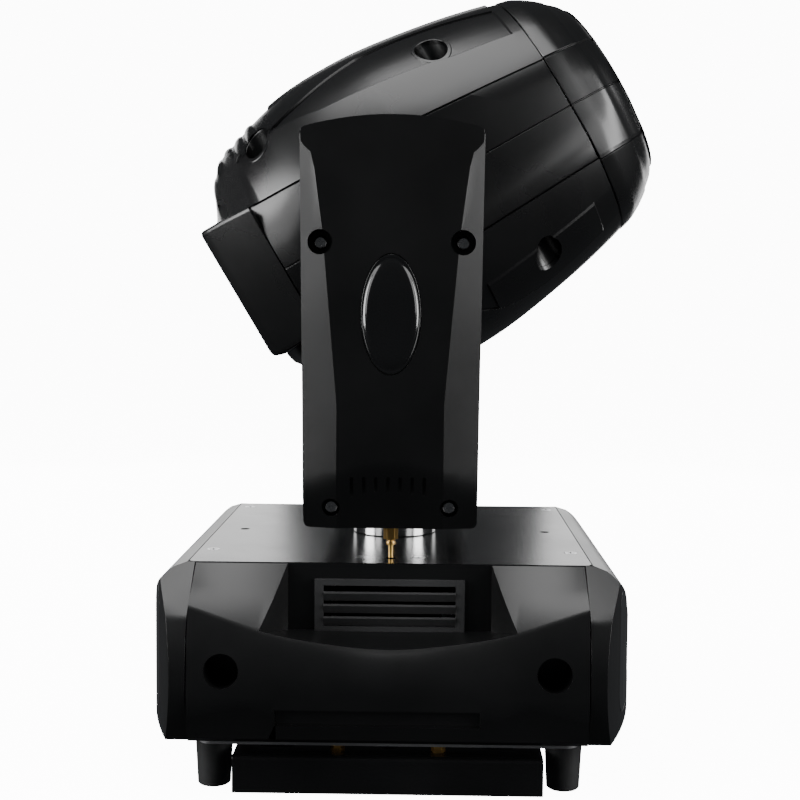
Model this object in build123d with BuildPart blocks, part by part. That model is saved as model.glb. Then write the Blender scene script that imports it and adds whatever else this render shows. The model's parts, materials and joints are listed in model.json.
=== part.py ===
from build123d import *
import os
from math import cos, radians, sin

# Moving head light: a base that stands or hangs, a yoke that pans on it and a head that tilts in
# the yoke. Millimetres. +Z is up and the origin is on the floor under the middle of the base. The
# yoke pans about Z. The head tilts about Y and is drawn leaning towards +X.

os.makedirs("parts", exist_ok=True)

# ---- Driving dimensions ------------------------------------------------------------------------

wall = 3.0  # moulded covers
sheet = 2.0  # folded steel
gap = 0.4  # between pieces that move past each other

# Base
plate_top = 125.0
plate_thickness = 3.0
plate_half_x = 113.0
plate_half_y = 112.0
base_bottom = 31.0  # lower edge of the moulded covers
base_end_x = 146.0  # furthest reach of the end caps, at mid depth
base_corner_x = 118.0  # reach of the end caps at the front and rear faces
base_face_y = 148.0  # furthest reach of the front and rear covers
bumper_z = 72.0  # height of that furthest reach
bumper_top_y = 140.0
bumper_top_z = 101.0
seam_x = 109.0  # seam between the front cover and the end caps
chassis_bottom = 26.0
chassis_half_x = 100.0
flange_half_x = 111.0
chassis_half_y = 100.0
recess_wall_y = 112.0  # upright wall of the vent recess
recess_half_x = 56.0
recess_floor_z = 86.0
vent_half_x = 42.0
vent_bottom = 79.0
vent_top = 116.0
cover_screw_x = 90.0
cover_screw_z = 71.5
cover_screw_bore = 9.5
panel_half_y = 117.0  # inner panel of an end cap
panel_bottom = 40.0
panel_top = 114.0
tray_x = 133.0  # flat tray for display and sockets
tray_half_y = 72.0
tray_bottom = 50.0
tray_top = 102.0
foot_x = 98.0
foot_y = 116.0
bracket_half_x = 85.5
bracket_outer_y = 136.0
bracket_depth = 40.0
bracket_top = 22.0
clamp_hole_radius = 5.25  # clears M10
clamp_slot_x = 62.0
safety_hole_radius = 4.25
safety_hole_x = 30.0
foot_screw_radius = 2.75
spacer_points = [(x, y) for x in (-28, 28) for y in (-124, 124)]
foot_points = [(x, y) for x in (-foot_x, foot_x) for y in (-foot_y, foot_y)]
spacer_screw_radius = 2.0
floor_half_x = 106.0
floor_half_y = 129.0
plate_screw_points = [(x, y) for x in (-105, 105) for y in (-73, 96)] + [
    (x, y) for x in (-16, 16) for y in (-94, 94)
]

# Pan drive
hub_radius = 26.0
hub_top = 146.0
pan_shaft_radius = 12.0
pan_bore = 7.0
pan_pulley_radius = 32.0
motor_pulley_radius = 8.0
pan_pulley_bottom = 98.0
pulley_width = 9.0
belt_thickness = 1.4
pan_motor_x = -60.0
motor_shaft_radius = 2.5
running_fit = 0.05
lock_circle = 96.0  # the lock pin stands on this circle
lock_travel = 7.0
lock_pin_radius = 1.4

# Yoke
arm_bottom = hub_top
arm_corner_z = 364.0
arm_top = 371.0
arm_half_width = 50.0
arm_foot_half_width = 48.0
arm_outer_y = 131.0
arm_split_y = 112.0  # seam between outer and inner cover
arm_inner_y = 95.0
arm_wall = 2.5
crossbar_top = 188.0
arm_screw_x = 39.0
arm_screw_z = 303.0
arm_lower_screw_x = 32.5
arm_lower_screw_z = 158.0
badge_z = 264.2
badge_half_x = 16.2
badge_half_z = 32.5
tilt_z = 324.0
frame_y = 100.0  # inner face of the yoke frame's side plates
frame_thickness = 3.0
tilt_axle_radius = 8.0
tilt_pulley_radius = 28.0
tilt_motor_pulley_radius = 7.0
tilt_pulley_y = 107.5
tilt_motor_x = -16.0
tilt_motor_z = 168.0
tilt_motor_size = 34.0

# Head, along the optical axis from the tilt axis
head_lean = 30.8  # optical axis above the horizontal
head_offset = 2.5  # the covers' centreline above the tilt axis
head_rear = -106.0
rear_cover_front = -71.3
bezel_rear = 117.0
head_front = 152.5
cheek_y = 91.0
seam_gap = 0.6
cover_outline = [(-106, 45), (-97, 56), (-88, 73), (-78, 83.5), (-62, 89.5), (-34, 97.3), (14, 99.5)]
cover_outline += [(63, 93.3), (94, 87), (117, 80.8), (128, 77.2), (136.5, 71.5), (148, 61.5), (151, 58)]
cheek_outline = [(-106, 58), (-70, 85), (-25, cheek_y), (25, cheek_y), (70, 85.5), (117, 76), (153, 64)]
lens_radius = 58.0
lens_opening = 54.0
lens_u = 138.0
screw_well_radius = 9.0
well_places = [(65.7, 44, 86.5), (-50, 55, 88.5)]  # along the axis, angle above the side, radius
wheel_radius = 46.0
wheel_offset = 34.0  # also the radius of the circle of holes
wheel_hole_radius = 9.0
wheel_thickness = 1.2
wheel_motor_size = 28.0
wheel_motor_length = 24.0
beam_radius = 14.0
bulkhead_u = {"led": -32.0, "gobo": 0.0, "colour": 10.0}
bulkhead_thickness = 1.6
frame_plate_y = 72.0
heat_sink_size = 84.0


# ---- Frames and helpers ------------------------------------------------------------------------

lean = radians(head_lean)
optic_axis = Vector(cos(lean), 0, sin(lean))
optic_up = Vector(-sin(lean), 0, cos(lean))
pivot = Vector(0, 0, tilt_z)
head_side = Plane(origin=pivot, x_dir=optic_axis, z_dir=(0, -1, 0))  # x along the axis, y up
head_plan = Plane(origin=pivot, x_dir=optic_axis, z_dir=optic_up)  # x along the axis, y across
head_centreline = Axis(pivot + optic_up * head_offset, optic_axis)


def optic(u, v=0.0):
    """Plane across the optical axis at u and height v, with x up and y towards -Y."""
    return Plane(origin=pivot + optic_axis * u + optic_up * v, x_dir=optic_up, z_dir=optic_axis)


def save(builder, name):
    """Label a finished piece and write it."""
    builder.part.label = name
    export_step(builder.part, f"parts/{name}.step")


def facing(side, distance, x=0.0, z=0.0):
    """Plane at y = side * distance whose normal points outwards, away from the middle."""
    return Plane(origin=(x, side * distance, z), x_dir=(-side, 0, 0), z_dir=(0, side, 0))


def screw(plane, head_radius, shank_radius, length, head_height=3.0):
    """Cross-head pan screw whose head stands on the plane and whose shank goes down from it."""
    with BuildPart() as piece:
        with BuildSketch(plane):
            Circle(head_radius)
        extrude(amount=head_height)
        fillet(piece.edges().filter_by(GeomType.CIRCLE).group_by(plane_distance(plane))[-1],
               head_height * 0.45)
        with BuildSketch(plane):
            Circle(shank_radius)
        extrude(amount=-length)
        with BuildSketch(plane.offset(head_height)):
            Rectangle(head_radius * 1.1, head_radius * 0.25)
            Rectangle(head_radius * 0.25, head_radius * 1.1)
        extrude(amount=-head_height * 0.55, mode=Mode.SUBTRACT)
    return piece.part


def plane_distance(plane):
    """Key that orders shapes by their distance along a plane's normal."""
    return lambda shape: round(plane.to_local_coords(shape.center()).Z, 3)


def countersunk_screw(plane, head_radius, shank_radius, length):
    """Cross-head countersunk screw whose flat head is flush with the plane."""
    head_depth = head_radius - shank_radius
    with BuildPart() as piece:
        with BuildSketch(plane):
            Circle(head_radius)
        extrude(amount=-head_depth, taper=45)
        with BuildSketch(plane):
            Circle(shank_radius)
        extrude(amount=-length)
        with BuildSketch(plane):
            Rectangle(head_radius * 1.2, head_radius * 0.25)
            Rectangle(head_radius * 0.25, head_radius * 1.2)
        extrude(amount=-head_depth * 0.5, mode=Mode.SUBTRACT)
    return piece.part


# ---- Base: moulded covers ----------------------------------------------------------------------


def base_block(inset):
    """Whole outer form of the base, moved in by inset on every side."""
    with BuildPart() as block:
        with BuildSketch(Plane.YZ):
            with BuildLine():
                Line((0, plate_top), (plate_half_y + 0.6, plate_top))
                Line((plate_half_y + 0.6, plate_top), (bumper_top_y, bumper_top_z))
                ThreePointArc(
                    (bumper_top_y, bumper_top_z), (base_face_y, bumper_z), (138, base_bottom)
                )
                Line((138, base_bottom), (0, base_bottom))
                mirror(about=Plane.YZ)
            make_face()
            if inset:
                offset(amount=-inset)
        extrude(amount=base_end_x, both=True)
        with BuildSketch(Plane.XZ):
            with BuildLine():
                Line((0, plate_top), (plate_half_x + 0.6, plate_top))
                Line((plate_half_x + 0.6, plate_top), (121, 122.5))
                ThreePointArc((121, 122.5), (130.5, 113.5), (137, 97))
                ThreePointArc((137, 97), (143, 74), (base_end_x, 46))
                ThreePointArc((base_end_x, 46), (145, 38), (140, base_bottom))
                Line((140, base_bottom), (0, base_bottom))
                mirror(about=Plane.YZ)
            make_face()
            if inset:
                offset(amount=-inset)
        extrude(amount=base_face_y, both=True, mode=Mode.INTERSECT)
        with BuildSketch():
            with BuildLine():
                Line((0, base_face_y), (base_corner_x, base_face_y))
                ThreePointArc(
                    (base_corner_x, base_face_y), (base_end_x, 0), (base_corner_x, -base_face_y)
                )
                Line((base_corner_x, -base_face_y), (0, -base_face_y))
                mirror(about=Plane.YZ)
            make_face()
            if inset:
                offset(amount=-inset)
        extrude(amount=plate_top, mode=Mode.INTERSECT)
    return block.part


def base_skin():
    """Hollow skin of the base, open above for the top plate and below for the chassis."""
    with BuildPart() as skin:
        add(base_block(0))
        add(base_block(wall), mode=Mode.SUBTRACT)
        with BuildSketch(Plane.XY.offset(plate_top)):
            Rectangle(2 * plate_half_x + 1, 2 * plate_half_y + 1)
        extrude(amount=-2 * plate_thickness, mode=Mode.SUBTRACT)
        with BuildSketch(Plane.XY.offset(base_bottom)):
            Rectangle(2 * chassis_half_x + 12, 2 * chassis_half_y + 20)
        extrude(amount=2 * wall, mode=Mode.SUBTRACT)
    return skin.part


skin = base_skin()


def recess(margin):
    """Vent recess above the bumper's shelf, grown by margin."""
    with BuildPart() as pocket:
        with BuildSketch(Plane.XZ.offset(recess_wall_y - margin)):
            with BuildLine():
                Polyline(
                    (-recess_half_x - margin, plate_top + 9),
                    (recess_half_x + margin, plate_top + 9),
                    (recess_half_x + 10 + margin, recess_floor_z - margin),
                    (-recess_half_x - 10 - margin, recess_floor_z - margin),
                    close=True,
                )
            make_face()
        extrude(amount=60)
    return pocket.part


with BuildPart() as recess_liner:
    add(base_block(0))
    add(recess(wall), mode=Mode.INTERSECT)

with BuildPart() as front_cover:
    add(skin)
    with BuildSketch():
        with Locations((0, -base_face_y)):
            Rectangle(2 * seam_x - seam_gap, 2 * (base_face_y - recess_wall_y + wall + 0.4))
    extrude(amount=plate_top, mode=Mode.INTERSECT)
    add(recess_liner.part)
    add(recess(0), mode=Mode.SUBTRACT)
    with BuildSketch(Plane.XY.offset(plate_top - plate_thickness)):
        Rectangle(2 * plate_half_x + 1, 2 * plate_half_y + 1)
    extrude(amount=2 * plate_thickness, mode=Mode.SUBTRACT)
    # Opening behind the vent panel
    with BuildSketch(Plane.XZ.offset(recess_wall_y - wall - 1)):
        with Locations((0, (vent_bottom + vent_top) / 2 + 4)):
            Rectangle(2 * vent_half_x - 14, vent_top - vent_bottom - 12)
    extrude(amount=wall + 2, mode=Mode.SUBTRACT)
    # Screw wells in the bumper, with a floor that the screw bears on
    with BuildSketch(Plane.XZ.offset(chassis_half_y + sheet)):
        with Locations((-cover_screw_x, cover_screw_z), (cover_screw_x, cover_screw_z)):
            Circle(cover_screw_bore + 2.5)
    extrude(amount=base_face_y - chassis_half_y - 6)
    with BuildSketch(Plane.XZ.offset(chassis_half_y + 16)):
        with Locations((-cover_screw_x, cover_screw_z), (cover_screw_x, cover_screw_z)):
            Circle(cover_screw_bore)
    extrude(amount=40, mode=Mode.SUBTRACT)
    with BuildSketch(Plane.XZ.offset(chassis_half_y)):
        with Locations((-cover_screw_x, cover_screw_z), (cover_screw_x, cover_screw_z)):
            Circle(2.2)
    extrude(amount=40, mode=Mode.SUBTRACT)

with BuildPart() as bumper_covers:
    add(front_cover.part)
    mirror(front_cover.part, about=Plane.XZ)
save(bumper_covers, "bumper_covers")

# Vent panel: a frame with louvre slats that lean outwards, on the face of the recess wall
with BuildPart() as front_vent_panel:
    with BuildSketch(Plane.XZ.offset(recess_wall_y)):
        with Locations((0, (recess_floor_z + vent_top) / 2)):
            Rectangle(2 * vent_half_x, vent_top - recess_floor_z)
            Rectangle(2 * vent_half_x - 10, vent_top - recess_floor_z - 7, mode=Mode.SUBTRACT)
    extrude(amount=2.5)
    with BuildSketch(Plane.YZ.offset(-vent_half_x + 5)):
        for slat_z in (92.5, 99.5, 106.5):
            with Locations(Pos(-recess_wall_y - 2.1, slat_z) * Rot(0, 0, 28)):
                Rectangle(1.8, 5.2)
    extrude(amount=2 * vent_half_x - 10)

with BuildPart() as vent_panels:
    add(front_vent_panel.part)
    mirror(front_vent_panel.part, about=Plane.XZ)
save(vent_panels, "vent_panels")


# ---- Base: end caps and what they carry --------------------------------------------------------


def panel_window(margin):
    """Block through the right end cap's window, shrunk by margin."""
    with BuildPart() as window:
        with BuildSketch(Plane.YZ.offset(seam_x)):
            with Locations((0, (panel_bottom + panel_top) / 2)):
                RectangleRounded(
                    2 * (panel_half_y - margin), panel_top - panel_bottom - 2 * margin, 14
                )
        extrude(amount=base_end_x - seam_x + 1)
    return window.part


def tray(margin):
    """Block in front of the flat tray in an end panel, grown by margin."""
    with BuildPart() as block:
        with BuildSketch(Plane.YZ.offset(tray_x - margin)):
            with Locations((0, (tray_bottom + tray_top) / 2)):
                RectangleRounded(
                    2 * (tray_half_y + margin), tray_top - tray_bottom + 2 * margin, 5
                )
        extrude(amount=20)
    return block.part


def end_panel():
    """Bulged inner panel of the right end cap, with its flat tray."""
    with BuildPart() as liner:
        add(base_block(0))
        add(tray(wall), mode=Mode.INTERSECT)
    with BuildPart() as panel:
        add(skin)
        add(panel_window(seam_gap), mode=Mode.INTERSECT)
        add(liner.part)
        add(tray(0), mode=Mode.SUBTRACT)
    return panel.part


with BuildPart() as right_end_cap:
    add(skin)
    with BuildSketch():
        with Locations((seam_x + 20 + seam_gap / 2, 0)):
            Rectangle(40, 2 * base_face_y)
    extrude(amount=plate_top, mode=Mode.INTERSECT)
    add(panel_window(0), mode=Mode.SUBTRACT)

with BuildPart() as end_caps:
    add(right_end_cap.part)
    mirror(right_end_cap.part, about=Plane.YZ)
save(end_caps, "end_caps")

# Display panel on the right, with a window and four menu buttons
display_y = -28.0
display_z = 78.0
display_width = 66.0
display_height = 32.0
button_radius = 5.0
button_stand_out = 2.6
button_points = [(y, z) for z in (90, 66) for y in (26, 48)]

with BuildPart() as display_panel:
    add(end_panel())
    with BuildSketch(Plane.YZ.offset(tray_x - wall - 1)):
        with Locations((display_y, display_z)):
            Rectangle(display_width - 8, display_height - 8)
        with Locations(*button_points):
            Circle(button_radius + gap)
    extrude(amount=wall + 2, mode=Mode.SUBTRACT)
save(display_panel, "display_panel")

with BuildPart() as display_window:
    with BuildSketch(Plane.YZ.offset(tray_x)):
        with Locations((display_y, display_z)):
            RectangleRounded(display_width, display_height, 3)
    extrude(amount=1.6)
save(display_window, "display_window")

for number, (button_y, button_z) in enumerate(button_points, start=1):
    with BuildPart() as button:
        with BuildSketch(Plane.YZ.offset(tray_x - 5)):
            with Locations((button_y, button_z)):
                Circle(button_radius)
        extrude(amount=5 + button_stand_out)
        fillet(button.edges().group_by(Axis.X)[-1], 0.9)
    save(button, f"menu_button_{number}")

# Connector panel on the left: power inlet with its fuse drawer, and the two data sockets
inlet_place = (-44, 78)
data_places = [(10, 78), (46, 78)]

with BuildPart() as connector_panel:
    mirror(end_panel(), about=Plane.YZ)
    with BuildSketch(Plane.YZ.offset(-tray_x - 1)):
        with Locations(inlet_place):
            Rectangle(28, 33)
        with Locations(*data_places):
            Circle(11.8)
    extrude(amount=wall + 2, mode=Mode.SUBTRACT)
save(connector_panel, "connector_panel")

with BuildPart() as power_inlet:
    with BuildSketch(Plane.YZ.offset(-tray_x)):
        with Locations(inlet_place):
            RectangleRounded(34, 40, 3)
    extrude(amount=-2.5)
    with BuildSketch(Plane.YZ.offset(-tray_x)):
        with Locations(inlet_place):
            Rectangle(27.6, 32.6)
    extrude(amount=18)
    inlet_y, inlet_z = inlet_place
    with BuildSketch(Plane.YZ.offset(-tray_x - 2.5)):
        with Locations((inlet_y, inlet_z + 6)):
            RectangleRounded(24, 16.5, 3)
    extrude(amount=17, mode=Mode.SUBTRACT)
    # Three contact blades, standing short of the mouth
    with BuildSketch(Plane.YZ.offset(-tray_x + 16)):
        contact_row = inlet_z + 4.5
        with Locations((inlet_y - 7, contact_row), (inlet_y, contact_row + 4), (inlet_y + 7, contact_row)):
            Rectangle(2, 4)
    extrude(amount=-13)
    # Outline of the fuse drawer and its finger notch
    with BuildSketch(Plane.YZ.offset(-tray_x - 2.5)):
        with Locations((inlet_y, inlet_z - 10)):
            Rectangle(24, 11)
            Rectangle(22.6, 9.6, mode=Mode.SUBTRACT)
            Rectangle(8, 2)
    extrude(amount=1.2, mode=Mode.SUBTRACT)
save(power_inlet, "power_inlet")

with BuildPart() as data_sockets:
    with BuildSketch(Plane.YZ.offset(-tray_x)):
        with Locations(*data_places):
            RectangleRounded(26, 31, 2.5)
    extrude(amount=-2)
    with BuildSketch(Plane.YZ.offset(-tray_x)):
        with Locations(*data_places):
            Circle(11.6)
    extrude(amount=18)
    with BuildSketch(Plane.YZ.offset(-tray_x - 2)):
        with Locations(*data_places):
            Circle(9.6)
    extrude(amount=17, mode=Mode.SUBTRACT)
    # Three contact pins in each socket
    with BuildSketch(Plane.YZ.offset(-tray_x + 16)):
        with Locations(*data_places):
            with PolarLocations(4, 3, start_angle=90):
                Circle(1.2)
    extrude(amount=-14)
save(data_sockets, "data_sockets")


# ---- Base: structure ---------------------------------------------------------------------------

plate_underside = plate_top - plate_thickness

with BuildPart() as base_chassis:
    # Folded steel: floor, side walls and the flanges that carry the top plate
    with BuildSketch(Plane.XZ):
        with BuildLine():
            FilletPolyline(
                (-flange_half_x, plate_underside - sheet),
                (-chassis_half_x, plate_underside - sheet),
                (-chassis_half_x, chassis_bottom),
                (chassis_half_x, chassis_bottom),
                (chassis_half_x, plate_underside - sheet),
                (flange_half_x, plate_underside - sheet),
                radius=3,
            )
            offset(amount=sheet, side=Side.LEFT)
        make_face()
    extrude(amount=chassis_half_y, both=True)
    with BuildSketch(Plane.XY.offset(plate_underside - sheet)):
        with Locations(*plate_screw_points):
            Circle(2.1)
    extrude(amount=sheet, mode=Mode.SUBTRACT)
    # Windows in the side walls for the display and the sockets
    with BuildSketch(Plane.YZ):
        with Locations((0, 76)):
            Rectangle(2 * tray_half_y + 8, 72)
    extrude(amount=chassis_half_x + 5, both=True, mode=Mode.SUBTRACT)
    # Upright tabs that the front and rear covers are screwed to
    for side in (-1, 1):
        with BuildSketch(Plane.XY.offset(chassis_bottom)):
            for x in (-cover_screw_x, cover_screw_x):
                with Locations((x, side * (chassis_half_y + 1))):
                    Rectangle(16, sheet)
                with Locations((x, side * (chassis_half_y - 1))):
                    Rectangle(16, sheet)
        extrude(amount=58)
    with BuildSketch(Plane.XZ):
        with Locations((-cover_screw_x, cover_screw_z), (cover_screw_x, cover_screw_z)):
            Circle(2)
    extrude(amount=chassis_half_y + 5, both=True, mode=Mode.SUBTRACT)
    # Floor under the front and rear covers, with holes for the bracket spacers' screws
    with BuildSketch(Plane.XY.offset(chassis_bottom)):
        RectangleRounded(2 * floor_half_x, 2 * floor_half_y, 8)
    extrude(amount=sheet)
    with BuildSketch(Plane.XY.offset(chassis_bottom)):
        with Locations(*spacer_points):
            Circle(spacer_screw_radius)
        with Locations(*foot_points):
            Circle(foot_screw_radius)
    extrude(amount=sheet, mode=Mode.SUBTRACT)
save(base_chassis, "base_chassis")

with BuildPart() as base_top_plate:
    with BuildSketch(Plane.XY.offset(plate_underside)):
        RectangleRounded(2 * plate_half_x, 2 * plate_half_y, 4)
        Circle(pan_shaft_radius + 1.5, mode=Mode.SUBTRACT)
    extrude(amount=plate_thickness)
    # Countersunk fixing holes
    with Locations(Plane.XY.offset(plate_top)):
        with Locations(*plate_screw_points):
            CounterSinkHole(radius=2.1, counter_sink_radius=4.1, counter_sink_angle=90)
    # Index holes for the pan lock pin, one each quarter turn
    with BuildSketch(Plane.XY.offset(plate_underside)):
        with PolarLocations(lock_circle, 4):
            Circle(lock_pin_radius + 1.5)
    extrude(amount=plate_thickness, mode=Mode.SUBTRACT)
save(base_top_plate, "base_top_plate")

with BuildPart() as base_screws:
    for x, y in plate_screw_points:
        add(countersunk_screw(Plane(origin=(x, y, plate_top)), 4.0, 2.0, 5.5))
    for side in (-1, 1):
        for x in (-cover_screw_x, cover_screw_x):
            seat = facing(side, chassis_half_y + 16, x, cover_screw_z)
            add(screw(seat, 4.2, 1.9, 17))
save(base_screws, "base_screws")

with BuildPart() as rubber_feet:
    with Locations(*foot_points):
        Cone(bottom_radius=9.2, top_radius=10.5, height=chassis_bottom,
             align=(Align.CENTER, Align.CENTER, Align.MIN))
    chamfer(rubber_feet.edges().group_by(Axis.Z)[0], 0.8)
    with BuildSketch():
        with Locations(*foot_points):
            Circle(foot_screw_radius)
    extrude(amount=chassis_bottom, mode=Mode.SUBTRACT)
save(rubber_feet, "rubber_feet")


def mounting_bracket():
    """Folded channel under the front of the base, with holes for clamps and a safety cable."""
    middle_y = -bracket_outer_y + bracket_depth / 2
    with BuildPart() as bracket:
        with BuildSketch(Plane.YZ.offset(-bracket_half_x)):
            with BuildLine():
                FilletPolyline(
                    (-bracket_outer_y, 1),
                    (-bracket_outer_y, bracket_top),
                    (-bracket_outer_y + bracket_depth, bracket_top),
                    (-bracket_outer_y + bracket_depth, 1),
                    radius=2.8,
                )
                offset(amount=2.5, side=Side.RIGHT)
            make_face()
        extrude(amount=2 * bracket_half_x)
        with BuildSketch(Plane.XY.offset(bracket_top - 5)):
            with Locations((0, middle_y)):
                Circle(clamp_hole_radius)
            with Locations((-clamp_slot_x, middle_y), (clamp_slot_x, middle_y)):
                SlotOverall(20, 8.5)
            with Locations((-safety_hole_x, middle_y + 8), (safety_hole_x, middle_y + 8)):
                Circle(safety_hole_radius)
            for x, y in spacer_points:
                if y < 0:
                    with Locations((x, y)):
                        Circle(spacer_screw_radius)
        extrude(amount=10, mode=Mode.SUBTRACT)
    return bracket.part


with BuildPart() as mounting_brackets:
    add(mounting_bracket())
    mirror(mounting_bracket(), about=Plane.XZ)
save(mounting_brackets, "mounting_brackets")

with BuildPart() as bracket_spacers:
    # Hexagonal pillars with a stud at both ends
    with BuildSketch(Plane.XY.offset(bracket_top)):
        with Locations(*spacer_points):
            RegularPolygon(4, 6)
    extrude(amount=chassis_bottom - bracket_top)
    with BuildSketch(Plane.XY.offset(bracket_top - 6)):
        with Locations(*spacer_points):
            Circle(spacer_screw_radius)
    extrude(amount=chassis_bottom - bracket_top + 10)
    # Nuts under the bracket
    with BuildSketch(Plane.XY.offset(bracket_top - 2.5)):
        with Locations(*spacer_points):
            RegularPolygon(3.8, 6)
    extrude(amount=-3)
save(bracket_spacers, "bracket_spacers")


# ---- Base: inside ------------------------------------------------------------------------------

floor_z = chassis_bottom + sheet

with BuildPart() as power_supply:
    with BuildSketch(Plane.XY.offset(floor_z)):
        with Locations((62, -22)):
            Rectangle(62, 120)
    extrude(amount=38)
    chamfer(power_supply.edges().filter_by(Axis.Z), 1.5)
    # Terminal block at the front end
    with BuildSketch(Plane.XY.offset(floor_z)):
        with Locations((62, -86)):
            Rectangle(54, 10)
    extrude(amount=14)
    # Cooling slots in the lid
    with BuildSketch(Plane.XY.offset(floor_z + 38)):
        with GridLocations(0, 9, 1, 11):
            with Locations((62, -22)):
                SlotOverall(44, 4)
    extrude(amount=-1.5, mode=Mode.SUBTRACT)
save(power_supply, "power_supply")

with BuildPart() as control_board:
    with BuildSketch(Plane.XY.offset(floor_z)):
        with Locations((-60, -56)):
            with GridLocations(60, 56, 2, 2):
                Circle(3)
    extrude(amount=6)
    with BuildSketch(Plane.XY.offset(floor_z + 6)):
        with Locations((-60, -56)):
            Rectangle(70, 68)
    extrude(amount=1.6)
    with BuildSketch(Plane.XY.offset(floor_z + 7.6)):
        with Locations((-68, -62)):
            Rectangle(14, 14)
        with Locations((-44, -50)):
            Rectangle(10, 18)
        with Locations((-60, -30)):
            Rectangle(40, 8)
    extrude(amount=4)
    with BuildSketch(Plane.XY.offset(floor_z + 7.6)):
        with GridLocations(11, 0, 3, 1):
            with Locations((-50, -78)):
                Circle(4)
    extrude(amount=14)
save(control_board, "control_board")


def fan_frame(plane, size, depth, bore_radius):
    """Square fan frame on a plane, with its motor's seat held by four struts at the back."""
    with BuildPart() as frame:
        with BuildSketch(plane):
            RectangleRounded(size, size, 3)
            Circle(bore_radius, mode=Mode.SUBTRACT)
            with GridLocations(size - 7, size - 7, 2, 2):
                Circle(1.8, mode=Mode.SUBTRACT)
        extrude(amount=depth)
        with BuildSketch(plane):
            Rectangle(2 * bore_radius + 1, 2.5)
            Rectangle(2.5, 2 * bore_radius + 1)
            Circle(bore_radius * 0.42)
        extrude(amount=1.8)
        with BuildSketch(plane):
            Circle(1.5)
        extrude(amount=depth * 0.6)
    return frame.part


def fan_rotor(plane, depth, bore_radius, blades=7):
    """Fan hub and blades, on the frame's spindle with a running fit."""
    hub_outer = bore_radius * 0.42
    with BuildPart() as rotor:
        with BuildSketch(plane.offset(2.2)):
            with PolarLocations(bore_radius * 0.68, blades):
                SlotOverall(bore_radius * 0.56, 2.6, rotation=0)
        extrude(amount=depth * 0.62)
        with BuildSketch(plane.offset(2.2)):
            Circle(hub_outer)
        extrude(amount=depth - 3.2)
        with BuildSketch(plane.offset(2.2)):
            Circle(1.5 + running_fit)
        extrude(amount=depth * 0.6, mode=Mode.SUBTRACT)
    return rotor.part


base_fan_plane = Plane(origin=(0, 92, 94), x_dir=(1, 0, 0), z_dir=(0, 1, 0))
with BuildPart() as base_fan_frame:
    add(fan_frame(base_fan_plane, 50, 15, 22.5))
save(base_fan_frame, "base_fan_frame")

with BuildPart() as base_fan_rotor:
    add(fan_rotor(base_fan_plane, 15, 22.5))
save(base_fan_rotor, "base_fan_rotor")


# ---- Pan drive ---------------------------------------------------------------------------------


def belt_loop(plane, spread, large, small, width):
    """Flat belt round two pulleys, the large one at the plane's origin, the small at x = spread."""
    with BuildPart() as belt:
        with BuildSketch(plane):
            Circle(large + belt_thickness)
            with Locations((spread, 0)):
                Circle(small + belt_thickness)
            make_hull()
            offset(amount=-belt_thickness, mode=Mode.SUBTRACT)
        extrude(amount=width)
    return belt.part


def pulley(plane, radius, bore, width):
    """Flanged pulley that stands on the plane."""
    with BuildPart() as wheel:
        with BuildSketch(plane):
            Circle(radius)
        extrude(amount=width)
        for height in (0, width - 1):
            with BuildSketch(plane.offset(height)):
                Circle(radius + 2)
            extrude(amount=1)
        with BuildSketch(plane):
            Circle(bore)
        extrude(amount=width, mode=Mode.SUBTRACT)
    return wheel.part


def motor_pulley(plane, radius, shaft_length):
    """Small pulley in one piece with the motor shaft that reaches back from the plane."""
    with BuildPart() as wheel:
        add(pulley(plane, radius, motor_shaft_radius, pulley_width))
        with BuildSketch(plane.offset(-shaft_length)):
            Circle(motor_shaft_radius)
        extrude(amount=shaft_length + pulley_width + 2)
    return wheel.part


pan_motor_top = 94.0
pan_pulley_plane = Plane.XY.offset(pan_pulley_bottom)
pan_motor_plane = Plane(origin=(pan_motor_x, 0, pan_pulley_bottom))

with BuildPart() as pan_motor:
    with BuildSketch(Plane.XY.offset(pan_motor_top)):
        with Locations((pan_motor_x, 0)):
            RectangleRounded(42, 42, 4)
            Circle(motor_shaft_radius + running_fit, mode=Mode.SUBTRACT)
    extrude(amount=-38)
    # Two pillars, clear of the belt, that hang the motor from the top plate
    with BuildSketch(Plane.XY.offset(pan_motor_top)):
        with Locations((pan_motor_x - 17, -17), (pan_motor_x - 17, 17)):
            Circle(3)
    extrude(amount=plate_underside - pan_motor_top)
save(pan_motor, "pan_motor")

with BuildPart() as pan_motor_pulley:
    add(motor_pulley(pan_motor_plane, motor_pulley_radius, 36))
save(pan_motor_pulley, "pan_motor_pulley")

with BuildPart() as pan_belt:
    add(
        belt_loop(
            pan_pulley_plane.offset(2),
            pan_motor_x,
            pan_pulley_radius + gap,
            motor_pulley_radius + gap,
            pulley_width - 4,
        )
    )
save(pan_belt, "pan_belt")

with BuildPart() as pan_bearing:
    with BuildSketch(Plane.XY.offset(plate_underside)):
        Circle(22)
        Circle(pan_shaft_radius + running_fit, mode=Mode.SUBTRACT)
    extrude(amount=-12)
    # Flange that is screwed to the underside of the top plate
    with BuildSketch(Plane.XY.offset(plate_underside)):
        Circle(31)
        Circle(20, mode=Mode.SUBTRACT)
        with PolarLocations(26.5, 4, start_angle=45):
            Circle(2, mode=Mode.SUBTRACT)
    extrude(amount=-3)
save(pan_bearing, "pan_bearing")

with BuildPart() as pan_pulley:
    add(pulley(pan_pulley_plane, pan_pulley_radius, pan_shaft_radius, pulley_width))
    with BuildSketch(pan_pulley_plane):
        with PolarLocations(22, 6):
            Circle(5)
    extrude(amount=pulley_width, mode=Mode.SUBTRACT)
save(pan_pulley, "pan_pulley")

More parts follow.
